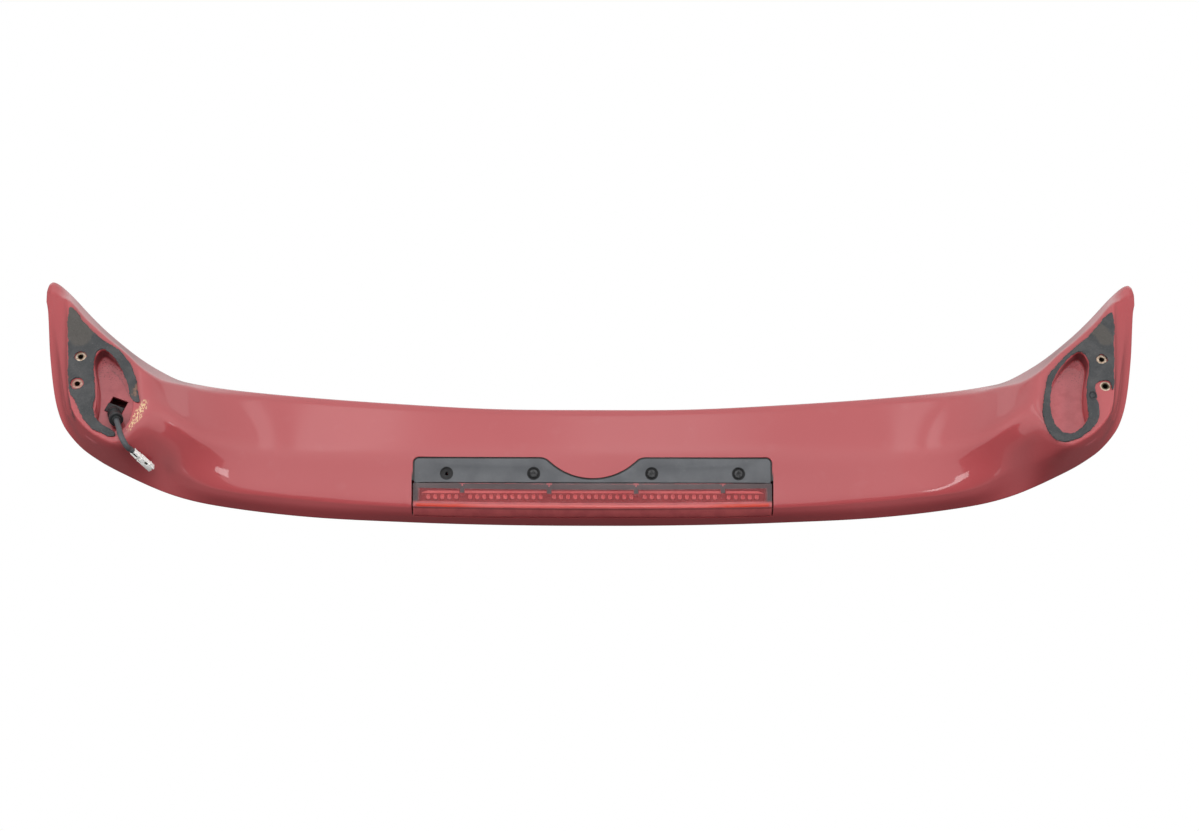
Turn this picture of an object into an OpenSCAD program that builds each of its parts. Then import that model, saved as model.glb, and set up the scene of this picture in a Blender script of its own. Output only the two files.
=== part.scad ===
// Rear boot-lid spoiler: a hollow blow-moulded blade on two feet, with a third brake lamp
// let into its trailing edge and a short supply cable at the right foot.
// +Z is up, +Y is forward and +X is the car's right. The origin is the middle of the four
// threaded inserts, on the plane of the painted mounting faces.

/* [Blade] */
// Width over both tips
span = 1282; // [1262:2:1302]
// Height of the blade's underside over the mounting faces, at the centre
blade_lift = 58; // [54:1:62]
// Distance of the front edge behind the inserts, at the centre
nose_back = 17.5; // [14.5:0.5:20.5]
// From the front edge back to the soft ridge along the underside
front_run = 56; // [53:0.5:59]
// From the ridge back to the crease above the lamp
rear_run = 61.5; // [60:0.5:64]
// Rise of the underside from the ridge to the crease
rear_rise = 22; // [20:0.5:24]
// Height of the rear face from the crease to the trailing lip
lip_rise = 36; // [32:0.5:40]
// How far the trailing lip hangs back over the crease
lip_over = 5.5; // [3:0.5:7]
// Crown of the painted top surface
top_crown = 5; // [2:0.5:7]
// Wall thickness of the blown shell
wall = 3.2; // [2.6:0.1:3.6]

/* [Feet] */
// Length of each foot, from where the blade starts to fall to the tip
foot_run = 261; // [255:1:267]
// Reach of the tips in front of the inserts
tip_reach = 128; // [122:1:134]
// Height of the tip's thin end
tip_z = 11; // [9:0.5:13]
// Depth of the pocket in each foot
pocket_depth = 19; // [15:0.5:22]
// Thickness of the foam gaskets
gasket_t = 3; // [1.5:0.25:4]
// Clearance of the gasket round the pocket and the inserts
gasket_gap = 1.4; // [0.5:0.1:2.5]

/* [Inserts] */
// From the tip in to the inserts
insert_inset = 53; // [51:0.5:55]
// Distance between the two inserts of a foot
insert_pitch = 36; // [32:0.5:38]
// Thread diameter of the inserts
insert_thread = 6; // [5:0.5:6]
// Diameter of the insert's flange
insert_flange = 12.4; // [11:0.2:14]
// Length of the insert
insert_len = 15; // [11:0.5:17]

/* [Lamp] */
// Width of the lamp's flange plate
plate_w = 410; // [400:1:416]
// Thickness of the flange plate
plate_t = 4; // [3.4:0.1:4.4]
// Height of the flange plate along the underside
plate_h = 28; // [27:0.5:28.5]
// Gap between the lamp and the shell
lamp_gap = 1.6; // [1:0.1:2]
// How much wider the lens is than the plate
lens_extra = 3; // [1:0.5:3]
// Wall thickness of the lens
lens_t = 2.5; // [2:0.1:2.8]
// Height of the lens on the rear face
lens_up = 15.5; // [12:0.5:17]
// Depth of the lamp tray behind the lens
tray_depth = 20; // [18:0.5:21]
// Half width of the notch at its round floor
notch_half = 48; // [40:1:52]
// Depth of the notch in the plate's front edge
notch_depth = 24.7; // [20:0.1:25]
// Distance of the inner lamp screws from the centre
screw_in = 68; // [64:1:72]
// Distance of the outer lamp screws from the centre
screw_out = 168.2; // [160:0.2:176]
// Shank diameter of the lamp screws
screw_d = 3.8; // [3.2:0.1:4.2]
// Head diameter of the lamp screws
screw_head = 9.6; // [8:0.2:10]
// Length of the lamp screws under the head
screw_len = 13; // [10:0.5:14]
// Spacing of the small lamps
cell_pitch = 8.1; // [7.9:0.05:8.25]
// Width of one small lamp
cell_w = 4.6; // [3.5:0.1:5.2]

/* [Cable] */
// Diameter of the cable
cable_d = 6.4; // [5:0.2:6.8]
// Length of the connector
plug_len = 35; // [32:0.5:38]
// Width of the connector
plug_w = 7.4; // [6.6:0.1:8.4]
// Height of the connector
plug_h = 6.6; // [6:0.1:7.2]

/* [Hidden] */

paint = "#b9585f";
foam = "#484c4d";
rubber = "#2e3132";
brass = "#b39a62";
plastic = "#6a6f74";
steel = "#55585a";
nylon = "#e9e6df";
lens_red = [0.72, 0.12, 0.12, 0.55];

half = span / 2;
root_x = half - foot_run;
insert_x = half - insert_inset;
seat_gap = 0.05;

// Guide curves of the right half. Each point is [x, y, z]: blade() places it by its share of
// the way from the centre to the foot, foot() by its distance outside that.
function blade(share, y, z) = [share * root_x, y, z];
function foot(out, y, z) = [root_x + out, y, z];

nose_y = -nose_back;
ridge_y = nose_y - front_run;
crease_y = ridge_y - rear_run;
crease_z = blade_lift + rear_rise;
lip_y = crease_y - lip_over;
lip_z = crease_z + lip_rise;

// Forward outline of the blade and the foot
nose_line = [
  blade(0, nose_y, blade_lift), blade(0.29, nose_y + 0.5, blade_lift - 0.5),
  blade(0.59, nose_y + 6.5, blade_lift - 1.5), blade(0.895, nose_y + 14.2, blade_lift - 4.5),
  foot(8, 0, 50.5), foot(43, 2.5, 47.3), foot(77, 6, 42.8), foot(100, 9.6, 38.6),
  foot(123, 20, 34.3), foot(147, 34.2, 29.5), foot(172, 53.3, 24.6), foot(191, 69.5, 21),
  foot(210, 88, 17), foot(228, 107.3, 14), foot(242, 120.6, 12.3),
  foot(251, tip_reach - 1, tip_z), foot(256, tip_reach - 1.5, tip_z + 0.4),
  foot(259.5, tip_reach - 6, tip_z + 1.8), foot(foot_run, tip_reach - 12, tip_z + 3.5)
];
// Front edge of the underside, then of the mounting face
front_line = [
  blade(0, nose_y - 8.5, blade_lift - 2.5), blade(0.59, nose_y - 2, blade_lift - 4),
  blade(0.895, nose_y + 5.5, blade_lift - 7.5), foot(8, -9, 46.5), foot(43, -7, 41.5),
  foot(72, -6, 34.5), foot(86, -3.5, 29), foot(100, -5, 20.5), foot(115, -7, 10),
  foot(126, -3.5, 3), foot(137, 3.5, 0), foot(158, 24.7, 0), foot(177, 40.8, 0),
  foot(196, 58.5, 0), foot(210, 72, 0), foot(222, 87, 0), foot(231, 96, 0),
  foot(241, 102, 5), foot(250, 110, 8.5), foot(257, 114, 11), foot(foot_run, 115.4, 14.6)
];
// Soft ridge along the underside, then the middle of the mounting face
ridge_line = [
  blade(0, ridge_y, blade_lift), blade(0.52, ridge_y, blade_lift - 0.6),
  blade(0.8, ridge_y - 1.5, blade_lift - 2.8), blade(0.92, ridge_y - 1.5, blade_lift - 4.5),
  foot(0, -74.3, 50.3), foot(21, -72, 45.3), foot(42, -71, 38.6), foot(60, -70.5, 29.5),
  foot(75, -69, 20), foot(92, -62, 11), foot(108, -52, 4.6), foot(122, -45, 1), foot(132, -42, 0),
  foot(160, -28, 0), foot(185, -8, 0), foot(210, 10, 0), foot(220, 32, 0), foot(227, 68, 0),
  foot(231, 95, 0.1), foot(241, 96, 6.8), foot(250, 104, 10.6), foot(257, 112, 12.4),
  foot(foot_run, 115, 14.7)
];
// Rear and outer edge of the mounting face; inboard of it a soft line on the rear underside
face_line = [
  blade(0, crease_y + 31, blade_lift + 11), blade(0.8, crease_y + 34, blade_lift + 8),
  foot(0, -98, 60.4), foot(40, -94.5, 51.8), foot(70, -89, 42), foot(90, -82, 32),
  foot(106, -75, 20), foot(118, -71.5, 8.5), foot(127, -72, 2.4), foot(134, -77.5, 0.3),
  foot(142, -86, 0), foot(150, -92.5, 0), foot(158, -94.5, 0), foot(166, -93, 0), foot(174, -88.5, 0),
  foot(186, -81.5, 0), foot(195, -73.5, 0), foot(205, -61.5, 0), foot(211, -52, 0),
  foot(217, -39, 0), foot(220, -13, 0), foot(223, 12, 0), foot(227, 52, 0), foot(231, 94, 0.1),
  foot(241, 86, 9.4), foot(250, 98, 13), foot(257, 109, 13.8), foot(foot_run, 114.6, 14.8)
];
// Crease between the underside and the rear face, then a soft line on the foot's outer wall
crease_line = [
  blade(0, crease_y, crease_z), blade(0.54, crease_y + 2, crease_z - 0.8),
  blade(0.825, crease_y + 8, crease_z - 4), foot(-5, -122.8, 70.3), foot(41, -120, 64.6),
  foot(64, -114.8, 61), foot(87, -105.8, 56), foot(108, -95.6, 51.6), foot(119, -92.3, 46.5),
  foot(129, -92.3, 38), foot(138, -94, 27), foot(146, -96, 16), foot(154, -97, 9),
  foot(164, -95, 8.5), foot(175, -90, 12), foot(190, -80.2, 21), foot(211, -61, 29),
  foot(220, -44, 22), foot(223, -37, 20), foot(227, -22, 20), foot(233, 5, 20),
  foot(241, 43, 20.5), foot(250, 73, 21.4), foot(257, 97, 18), foot(foot_run, 113.5, 15)
];
// Trailing outline: lip of the blade, rear corner and outer side of the foot
lip_line = [
  blade(0, lip_y, lip_z), blade(0.585, lip_y + 2.5, lip_z - 4.4),
  blade(0.89, lip_y + 6, lip_z - 11.3), foot(39, -127, 98.2), foot(73, -123, 93.4),
  foot(108, -114.5, 88.5), foot(154, -96.8, 78.8), foot(190, -79.8, 70), foot(211, -66, 63.7),
  foot(225, -51.7, 58.5), foot(233, -41, 54.7), foot(241, -21, 50.5), foot(246, -4, 47.5),
  foot(250, 20, 41.5), foot(254, 48, 35), foot(257, 80, 25), foot(259.5, 102, 18.5),
  foot(foot_run, 112, 15.5)
];

// Smooth curve through a guide's points, as [y, z] at x, never under the mounting plane
function slope(g, i, k) = i == 0 ? 0 : let (last = len(g) - 1)
  i == last ? (g[i][k] - g[i - 1][k]) / (g[i][0] - g[i - 1][0]) :
  let (h0 = g[i][0] - g[i - 1][0], h1 = g[i + 1][0] - g[i][0])
  ((g[i][k] - g[i - 1][k]) / h0 * h1 + (g[i + 1][k] - g[i][k]) / h1 * h0) / (h0 + h1);
function span_of(g, x, i = 0) = i >= len(g) - 2 || x < g[i + 1][0] ? i : span_of(g, x, i + 1);
function along(g, x) = let (
  i = span_of(g, x), h = g[i + 1][0] - g[i][0], t = (x - g[i][0]) / h,
  a = 2 * t^3 - 3 * t^2 + 1, b = t^3 - 2 * t^2 + t, c = 3 * t^2 - 2 * t^3, d = t^3 - t^2)
  [for (k = [1, 2]) let (v = a * g[i][k] + b * h * slope(g, i, k) + c * g[i + 1][k]
    + d * h * slope(g, i + 1, k)) k == 2 ? max(0, v) : v];

// Round one corner of an outline with a short curve
function unit(v) = v / norm(v);
function round_corner(a, p, b, trim, steps) = let (
  u = p + unit(a - p) * min(trim, 0.42 * norm(a - p)),
  v = p + unit(b - p) * min(trim, 0.42 * norm(b - p)))
  [for (i = [0:steps]) let (t = i / steps) (1 - t)^2 * u + 2 * t * (1 - t) * p + t^2 * v];

// How far each corner is rounded: the face's edge and the crease fade out beside the foot
function beyond(x, table) = lookup(x - root_x, table);
function face_trim(x) = beyond(x, [[60, 8], [110, 16], [130, 15], [145, 11], [156, 6], [170, 4]]);
function crease_trim(x) = beyond(x, [[40, 3], [90, 4], [112, 7], [130, 12], [200, 8]]);
// Corner points of the section at x: nose, front, ridge, face, crease, lip, two of the top
nose_r = 6;
function chord(x) = along(nose_line, x)[0] - along(lip_line, x)[0];
function nose_round(x) = nose_r * min(1, max(chord(x) / 110, 0.04));
function nose_mid(x) = along(nose_line, x) + nose_round(x) * [-0.866, 0.5];
function top_point(x, share) = let (
  n = nose_mid(x) + nose_round(x) * [0.4, 0.9], l = along(lip_line, x),
  bulge = top_crown * min(1, chord(x) / 120) * (share < 0.5 ? 1 : 0.4))
  n + share * (l - n) + [0, bulge];
function nose_arc(x, angles) = [for (g = angles)
  nose_mid(x) + nose_round(x) * [cos(g), sin(g)]];
function section(x) = let (
  n = nose_arc(x, [68, 38, 8, -20, -45]), f = along(front_line, x), m = along(ridge_line, x),
  e = along(face_line, x), c = along(crease_line, x), l = along(lip_line, x),
  k2 = top_point(x, 0.75), k1 = top_point(x, 0.33))
  concat(n, round_corner(n[4], f, m, 4, 2), round_corner(f, m, e, 14, 3),
    round_corner(m, e, c, face_trim(x), 4), round_corner(e, c, l, crease_trim(x), 4),
    round_corner(c, l, k2, 2.4, 3),
    round_corner(l, k2, k1, 25, 2), round_corner(k2, k1, n[0], 25, 2));

// Inside of the wall: the same corner points moved in by the wall thickness
function inset_corner(a, p, b, w) = let (
  d0 = unit(p - a), d1 = unit(b - p), n0 = [d0[1], -d0[0]], n1 = [d1[1], -d1[0]])
  p - w * (n0 + n1) / max(0.45, 1 + n0 * n1);
// The wall grows towards the pinched end of the foot
function inner_wall(x) = wall + 4 * min(1, max(0, (x - half + 95) / 50));
function inner_section(x) = let (
  n = nose_arc(x, [68, -45]),
  p = [n[0], n[1], along(front_line, x), along(ridge_line, x), along(face_line, x),
    along(crease_line, x), along(lip_line, x), top_point(x, 0.75), top_point(x, 0.33)],
  q = len(p))
  [for (i = [0:q - 1]) inset_corner(p[(i + q - 1) % q], p[i], p[(i + 1) % q], -inner_wall(x))];

// Solid through a row of equal sections, each [x, outline]
module loft(rows) {
  count = len(rows[0][1]);
  last = len(rows) - 1;
  points = [for (row = rows) for (p = row[1]) [row[0], p[0], p[1]]];
  sides = [for (i = [0:last - 1]) for (j = [0:count - 1]) let (
    a = i * count + j, b = i * count + (j + 1) % count)
    each [[a, b, b + count], [a, b + count, a + count]]];
  ends = [[for (j = [count - 1:-1:0]) j], [for (j = [0:count - 1]) last * count + j]];
  polyhedron(points, concat(sides, ends), convexity = 10);
}
function mirrored(xs) = concat([for (i = [len(xs) - 1:-1:0]) if (xs[i] > 0) -xs[i]], xs);
function stations(stops, steps) = [for (k = [0:len(steps) - 1]) each
  [for (i = [0:steps[k] - 1]) stops[k] + (stops[k + 1] - stops[k]) * i / steps[k]]];

outer_xs = concat(stations([0, root_x - 60, root_x + 110, root_x + 150, root_x + 216, half - 30,
  half - 8, half], [9, 17, 10, 8, 5, 6, 4]), [half]);
inner_xs = concat(stations([0, root_x, root_x + 120, root_x + 146, half - 42],
  [6, 7, 4, 8]), [half - 42]);

// Lamp frame: X across, Y back along the rear underside from the ridge, Z out of the underside
lamp_tilt = atan2(rear_rise, rear_run);
module lamp_frame() {
  translate([0, ridge_y, blade_lift]) rotate([180 - lamp_tilt, 0, 0]) children();
}
// A point of the lamp frame's [y, z] as the part's [y, z]
function lamp_point(p) = [ridge_y, blade_lift] + p[0] * [-cos(lamp_tilt), sin(lamp_tilt)]
  + p[1] * [-sin(lamp_tilt), -cos(lamp_tilt)];
module across(width) {
  rotate([90, 0, 90]) linear_extrude(width, center = true) children();
}

plate_front = 8;
plate_rear = plate_front + plate_h;
lens_w = plate_w + lens_extra;
screw_row = plate_front + 17.2;
seal_t = 1;
ledge_t = 4;
recess = plate_t + seal_t;
notch_floor = plate_front + notch_depth;
notch_flare = 14;
notch_r = (notch_half^2 + (notch_depth - 7)^2) / (2 * (notch_depth - 7));

// Flange plate seen from below: a long strip with a round-floored notch in its front edge
module plate_outline(grow = 0) {
  corner = 5;
  offset(delta = grow) difference() {
    hull() {
      for (s = [-1, 1]) {
        translate([s * (plate_w / 2 - corner), plate_front + corner]) circle(corner, $fn = 24);
        translate([s * (plate_w / 2 - 0.5), plate_rear - 0.5]) square(1, center = true);
      }
    }
    polygon(notch_points());
  }
}
function notch_points() = let (
  floor_y = notch_floor, a = asin(notch_half / notch_r),
  arc = [for (i = [-8:8]) [notch_r * sin(a * i / 8), floor_y - notch_r * (1 - cos(a * i / 8))]],
  e = arc[16], slope_out = [cos(a), -sin(a)],
  knee = e + slope_out * (e[1] - plate_front) / sin(a),
  flare = round_corner(e, knee, knee + [notch_flare, 0], notch_flare, 6))
  concat([for (i = [len(flare) - 1:-1:0]) [-flare[i][0], flare[i][1]]], arc, flare,
    [[flare[6][0], plate_front - 9], [-flare[6][0], plate_front - 9]]);

// Lamp opening and lens follow the crease and the rear face
lens_front = plate_rear + 0.3;
function rear_way(x) = unit(along(lip_line, x) - along(crease_line, x));
function lens_section(x) = let (
  c = along(crease_line, x), d = rear_way(x), inward = [d[1], -d[0]],
  a = lamp_point([lens_front, 0]), up = lamp_point([lens_front, -lens_t]) - a,
  b = c + lens_up * d,
  corner = c + (up + inward * lens_t) / (1 + (up * inward) / lens_t))
  [a, c + unit(a - c) * 1.5, c + d * 1.5, b, b + inward * lens_t, corner, a + up];
function opening_section(x) = let (
  c = along(crease_line, x), d = rear_way(x), inward = [d[1], -d[0]],
  a = lamp_point([plate_rear - 3, 0]), out = lamp_point([plate_rear - 3, 6]) - a,
  b = c + (lens_up + lamp_gap * 0.6) * d)
  [a + out, c + out - inward * 8, b - inward * 8, b + inward * 9, lamp_point([66, -25]),
    lamp_point([plate_rear - 3, -25])];
function lamp_rows(width, steps) = [for (i = [-steps:steps]) i * width / 2 / steps];

// Pocket of the foot, a kidney round at both ends, as the right foot has it
module pocket_outline(grow = 0) {
  offset(r = 5 + grow, $fn = 24) offset(delta = -5)
  polygon([for (p = [[-23, 31], [-15, 15], [-18, 0], [-23, -20], [-25, -44], [-23, -58],
    [-32, -71], [-45, -81.5], [-58, -78], [-65.5, -62], [-66, -40], [-60, -12], [-49, 6],
    [-37, 20]]) [insert_x + p[0], p[1]]]);
}
// Foam outline of the right foot, a finger's width inside the edge of the mounting face
module foam_outline() {
  offset(r = 2.5, $fn = 20) offset(delta = -2.5)
  polygon([for (p = [[21, 84], [16, 30], [10, -30], [-4, -54], [-18, -73], [-32, -84],
    [-46, -91.5], [-56, -91], [-68, -82], [-76, -64], [-77.5, -48], [-69, -16], [-60, 4],
    [-48, 19], [-36, 32], [-24, 39], [-10, 52], [2, 65], [12, 78]])
    [insert_x + p[0], p[1]]]);
}
insert_ys = [insert_pitch / 2, -insert_pitch / 2];

module right_foot(right) {
  mirror([right ? 0 : 1, 0, 0]) children();
}

// Cable hole in the right foot's pocket floor
hole_at = [insert_x - 43.3, -37];
hole_turn = 22;
hole_size = [20, 21];
module cable_hole(grow = 0, height = 12) {
  translate([hole_at[0], hole_at[1], pocket_depth - 2]) rotate([0, 0, hole_turn])
    translate([0, 0, height / 2])
      cube([hole_size[0] + 2 * grow, hole_size[1] + 2 * grow, height], center = true);
}

// What stays solid inside the shell: pocket walls, insert bosses and the lamp's ledge
boss_d = insert_flange + 5;
module inner_walls() {
  for (right = [true, false]) right_foot(right) {
    translate([0, 0, -5]) linear_extrude(pocket_depth + wall + 5) pocket_outline(wall);
    for (y = insert_ys) translate([insert_x, y, -5])
      cylinder(d = boss_d, h = insert_len + 9, $fn = 32);
  }
  lamp_frame() translate([0, (plate_front - 5 + plate_rear - 0.5) / 2, -(recess + ledge_t) / 2 + 5])
    cube([plate_w + 12, plate_h + 4.5, recess + ledge_t + 10], center = true);
}

module nut_seats(size, height) {
  for (x = [-screw_out, -screw_in, screw_in, screw_out]) translate([x, screw_row, 0])
    cube([size, size, height], center = true);
}

module spoiler_shell() {
  color(paint) difference() {
    loft([for (x = mirrored(outer_xs)) [x, section(abs(x))]]);
    difference() {
      loft([for (x = mirrored(inner_xs)) let (
        a = abs(x), pull = 5 * min(1, max(0, (a - half + 105) / 60)))
        [x > 0 ? a - pull : pull - a, inner_section(a)]]);
      inner_walls();
    }
    for (right = [true, false]) right_foot(right) {
      translate([0, 0, -5]) linear_extrude(pocket_depth + 5) pocket_outline();
      for (y = insert_ys) translate([insert_x, y, 0]) insert_hole();
    }
    cable_hole();
    lamp_frame() {
      translate([0, 0, -recess]) linear_extrude(recess + 8) plate_outline(lamp_gap);
      translate([0, 0, -recess]) nut_seats(nut_w + 2 * seat_gap, 2 * ledge_t + 2);
    }
    loft([for (x = lamp_rows(lens_w + 2 * lamp_gap, 5)) [x, opening_section(abs(x))]]);
  }
}

// Threaded insert: a knurled sleeve with a flange, flush with the mounting face
insert_d = insert_flange - 3.4;
flange_t = 1.2;
module insert_hole() {
  translate([0, 0, -5]) cylinder(d = insert_flange + 2 * seat_gap, h = flange_t + 5, $fn = 48);
  cylinder(d = insert_d + 2 * seat_gap, h = insert_len + 0.5, $fn = 48);
}
module threaded_insert(right, y) {
  color(brass) right_foot(right) translate([insert_x, y, 0]) difference() {
    union() {
      cylinder(d = insert_flange, h = flange_t, $fn = 48);
      cylinder(d = insert_d, h = insert_len, $fn = 48);
    }
    translate([0, 0, -1]) cylinder(d = insert_thread, h = insert_len - 1, $fn = 48);
    for (z = [4.5, 8.5]) translate([0, 0, z]) insert_groove();
  }
}
module insert_groove() {
  difference() {
    cylinder(d = insert_d + 2, h = 1.2, $fn = 48);
    translate([0, 0, -1]) cylinder(d = insert_d - 1, h = 4, $fn = 48);
  }
}

// Foam gaskets; each has lost the piece that the torn outline names
module foot_gasket(right) {
  color(foam) right_foot(right) translate([0, 0, -gasket_t]) linear_extrude(gasket_t)
    difference() {
      foam_outline();
      pocket_outline(gasket_gap);
      for (y = insert_ys) translate([insert_x, y])
        circle(d = insert_flange + 2 * gasket_gap, $fn = 32);
      translate([insert_x, 0]) polygon(right ? torn_right : torn_left);
    }
}
torn_right = [[-80, -40], [-70, -44], [-61, -40], [-50, -62], [-44, -80], [-48, -84], [-49, -96],
  [-90, -96]];
torn_left = [[14, -23], [4, -26], [-5, -22], [-11, -20], [-14, -30], [-10, -42], [-14, -58],
  [-26, -73], [-40, -84], [-30, -96], [20, -96], [20, -24]];
module gasket_right() { foot_gasket(true); }
module gasket_left() { foot_gasket(false); }

module insert_front_right() { threaded_insert(true, insert_ys[0]); }
module insert_rear_right() { threaded_insert(true, insert_ys[1]); }
module insert_front_left() { threaded_insert(false, insert_ys[0]); }
module insert_rear_left() { threaded_insert(false, insert_ys[1]); }

// Lamp housing: the flange plate and the tray behind the lens are one moulding
tray_w = lens_w - 10;
tray_wall = 2;
tray_front = plate_rear - 2.5;
tray_lip = plate_rear + 24.3;
tray_top = -lens_t - 0.4;
bore_cover = 1.2;
module tray_profile(inside) {
  g = inside ? tray_wall : 0;
  d = inside ? 5 : 0;
  polygon([[tray_front + g, tray_top + d], [tray_lip - g, tray_top + d],
    [tray_lip + 6 - g, -16], [tray_lip + 5 - g, -tray_depth + g],
    [tray_front + g, -tray_depth + g]]);
}
module lamp_housing() {
  color(plastic) lamp_frame() difference() {
    union() {
      translate([0, 0, -plate_t]) linear_extrude(plate_t) plate_outline();
      across(tray_w) tray_profile(false);
    }
    across(tray_w - 2 * tray_wall) tray_profile(true);
    for (x = [-screw_out, -screw_in, screw_in, screw_out]) translate([x, screw_row, 0]) {
      translate([0, 0, -plate_t - 1]) cylinder(d = screw_d + 1, h = plate_t + 2, $fn = 32);
      translate([0, 0, bore_cover - plate_t]) cylinder(d = screw_head + 4, h = plate_t, $fn = 40);
      translate([0, 0, -0.8]) cylinder(d1 = screw_head + 4, d2 = screw_head + 7, h = 0.81, $fn = 40);
    }
    translate([plug_at[0], tray_front, plug_at[1]]) cube([9, 6, 4.4], center = true);
  }
}
module lamp_lens() {
  color(lens_red) loft([for (x = lamp_rows(lens_w, 8)) [x, lens_section(abs(x))]]);
}
// Foam seal between the flange plate and the shell's ledge
module lamp_seal() {
  color(foam) lamp_frame() translate([0, 0, -plate_t - seal_t]) linear_extrude(seal_t)
    difference() {
      intersection() {
        plate_outline(-1.5);
        translate([0, plate_front]) square([plate_w, 2 * (plate_h - 4.5)], center = true);
      }
      for (x = [-screw_out, -screw_in, screw_in, screw_out]) translate([x, screw_row])
        square(nut_w + 4, center = true);
    }
}

// Board with its row of small lamps, seen through the lens, and the dark carrier round them
cell_groups = [[-173, 5], [-100.5, 11], [0, 12], [100.5, 11], [173, 5]];
cell_row = plate_front + 43.7;
cell_h = 5.6;
board_t = 1.6;
board_h = 18;
board_end = 14;
board_z = -tray_depth + tray_wall + 3;
cell_top = -5.5;
carrier_t = 2;
module cell_places() {
  for (g = cell_groups) for (i = [0:g[1] - 1])
    translate([g[0] + (i - (g[1] - 1) / 2) * cell_pitch, cell_row, 0]) children();
}
module lamp_board() {
  color("#31523a") lamp_frame() {
    translate([0, cell_row, board_z + board_t / 2]) cube([tray_w - 12, board_h, board_t],
      center = true);
    for (x = [-1, 1]) for (k = [0, 0.5, 1]) translate([x * k * (tray_w / 2 - board_end), cell_row + 5, 0])
      translate([0, 0, board_z - 1.5]) cube([5, 4, 3], center = true);
  }
}
module lamp_cells() {
  color("#d24a48") lamp_frame() cell_places()
    translate([0, 0, (board_z + board_t + cell_top) / 2])
      cube([cell_w, cell_h, cell_top - board_z - board_t], center = true);
}
module lamp_carrier() {
  color("#4b3537") lamp_frame() difference() {
    union() {
      translate([0, (plate_rear - 0.5 + tray_lip - tray_wall) / 2, cell_top - 1 - carrier_t / 2])
        cube([tray_w - 2 * tray_wall, tray_lip - tray_wall - plate_rear + 0.5, carrier_t],
          center = true);
      for (x = [-150, -50, 50, 150]) translate([x, cell_row - 5, cell_top / 2 - 2])
        cube([5, 9, -cell_top - 3 + 1], center = true);
    }
    translate([0, 0, cell_top - 1 - carrier_t / 2]) cell_places()
      cube([cell_w + 0.4, cell_h + 0.4, carrier_t + 2], center = true);
  }
}

// Cross-head lamp screws; the outer right one is missing from its hole
module lamp_screw(x) {
  head_h = 2.2;
  color(steel) lamp_frame() translate([x, screw_row, bore_cover - plate_t]) difference() {
    union() {
      cylinder(d = screw_head, h = head_h - 0.5, $fn = 40);
      translate([0, 0, head_h - 0.5]) cylinder(d1 = screw_head, d2 = screw_head - 2.4, h = 0.5, $fn = 40);
      translate([0, 0, -screw_len]) cylinder(d = screw_d, h = screw_len + 0.5, $fn = 32);
    }
    for (a = [0, 90]) rotate([0, 0, a]) translate([0, 0, head_h])
      cube([screw_head * 0.52, 1.1, 2.4], center = true);
  }
}
module lamp_screw_left_outer() { lamp_screw(-screw_out); }
module lamp_screw_left_inner() { lamp_screw(-screw_in); }
module lamp_screw_right_inner() { lamp_screw(screw_in); }

// Square black plastic nut pressed into the ledge for each screw
nut_w = 8.4;
module screw_nut(x) {
  flange = nut_w + 3;
  color(rubber) lamp_frame() translate([x, screw_row, -recess]) difference() {
    union() {
      translate([0, 0, seal_t / 2]) cube([flange, flange, seal_t], center = true);
      translate([0, 0, -nut_len / 2]) cube([nut_w, nut_w, nut_len], center = true);
    }
    translate([0, 0, -ledge_t - 6]) cylinder(d = screw_d + 2 * seat_gap, h = ledge_t + 10, $fn = 32);
  }
}
module screw_nut_left_outer() { screw_nut(-screw_out); }
module screw_nut_left_inner() { screw_nut(-screw_in); }
module screw_nut_right_inner() { screw_nut(screw_in); }
module screw_nut_right_outer() { screw_nut(screw_out); }

// Plug of the inner harness, pushed sideways on to the tray's front wall
plug_at = [110, -14];
inner_plug = [22, 11, 7];
module lamp_plug() {
  color(nylon) lamp_frame() {
    translate([plug_at[0], tray_front - inner_plug[1] / 2, plug_at[1]]) cube(inner_plug, center = true);
    translate([plug_at[0], tray_front, plug_at[1]]) cube([8.6, 3.8, 4], center = true);
  }
}

// A tube swept along points, with its ends square to the first and last stretch
function bend_dir(p, i) = let (n = len(p) - 1)
  unit(i == 0 ? p[1] - p[0] : i == n ? p[n] - p[n - 1] : unit(p[i] - p[i - 1]) + unit(p[i + 1] - p[i]));
module tube(p, d, sides) {
  rings = [for (i = [0:len(p) - 1]) let (
    t = bend_dir(p, i), u = unit(cross(t, [0.3, 0.2, 1])), v = cross(t, u))
    [for (k = [0:sides - 1]) let (a = 360 * k / sides)
      p[i] + d / 2 * (cos(a) * u + sin(a) * v)]];
  points = [for (ring = rings) each ring];
  last = len(p) - 1;
  sides_faces = [for (i = [0:last - 1]) for (k = [0:sides - 1]) let (
    a = i * sides + k, b = i * sides + (k + 1) % sides)
    each [[a, a + sides, b + sides], [a, b + sides, b]]];
  caps = [[for (k = [0:sides - 1]) k], [for (k = [sides - 1:-1:0]) last * sides + k]];
  polyhedron(points, concat(sides_faces, caps), convexity = 6);
}
function curved(p, steps) = [for (i = [0:len(p) - 2]) each [for (s = [0:steps - 1]) let (
  t = s / steps, a = p[max(i - 1, 0)], b = p[i], c = p[i + 1], d = p[min(i + 2, len(p) - 1)])
  0.5 * (2 * b + (c - a) * t + (2 * a - 5 * b + 4 * c - d) * t^2
    + (3 * b - a - 3 * c + d) * t^3)], p[len(p) - 1]];

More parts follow.
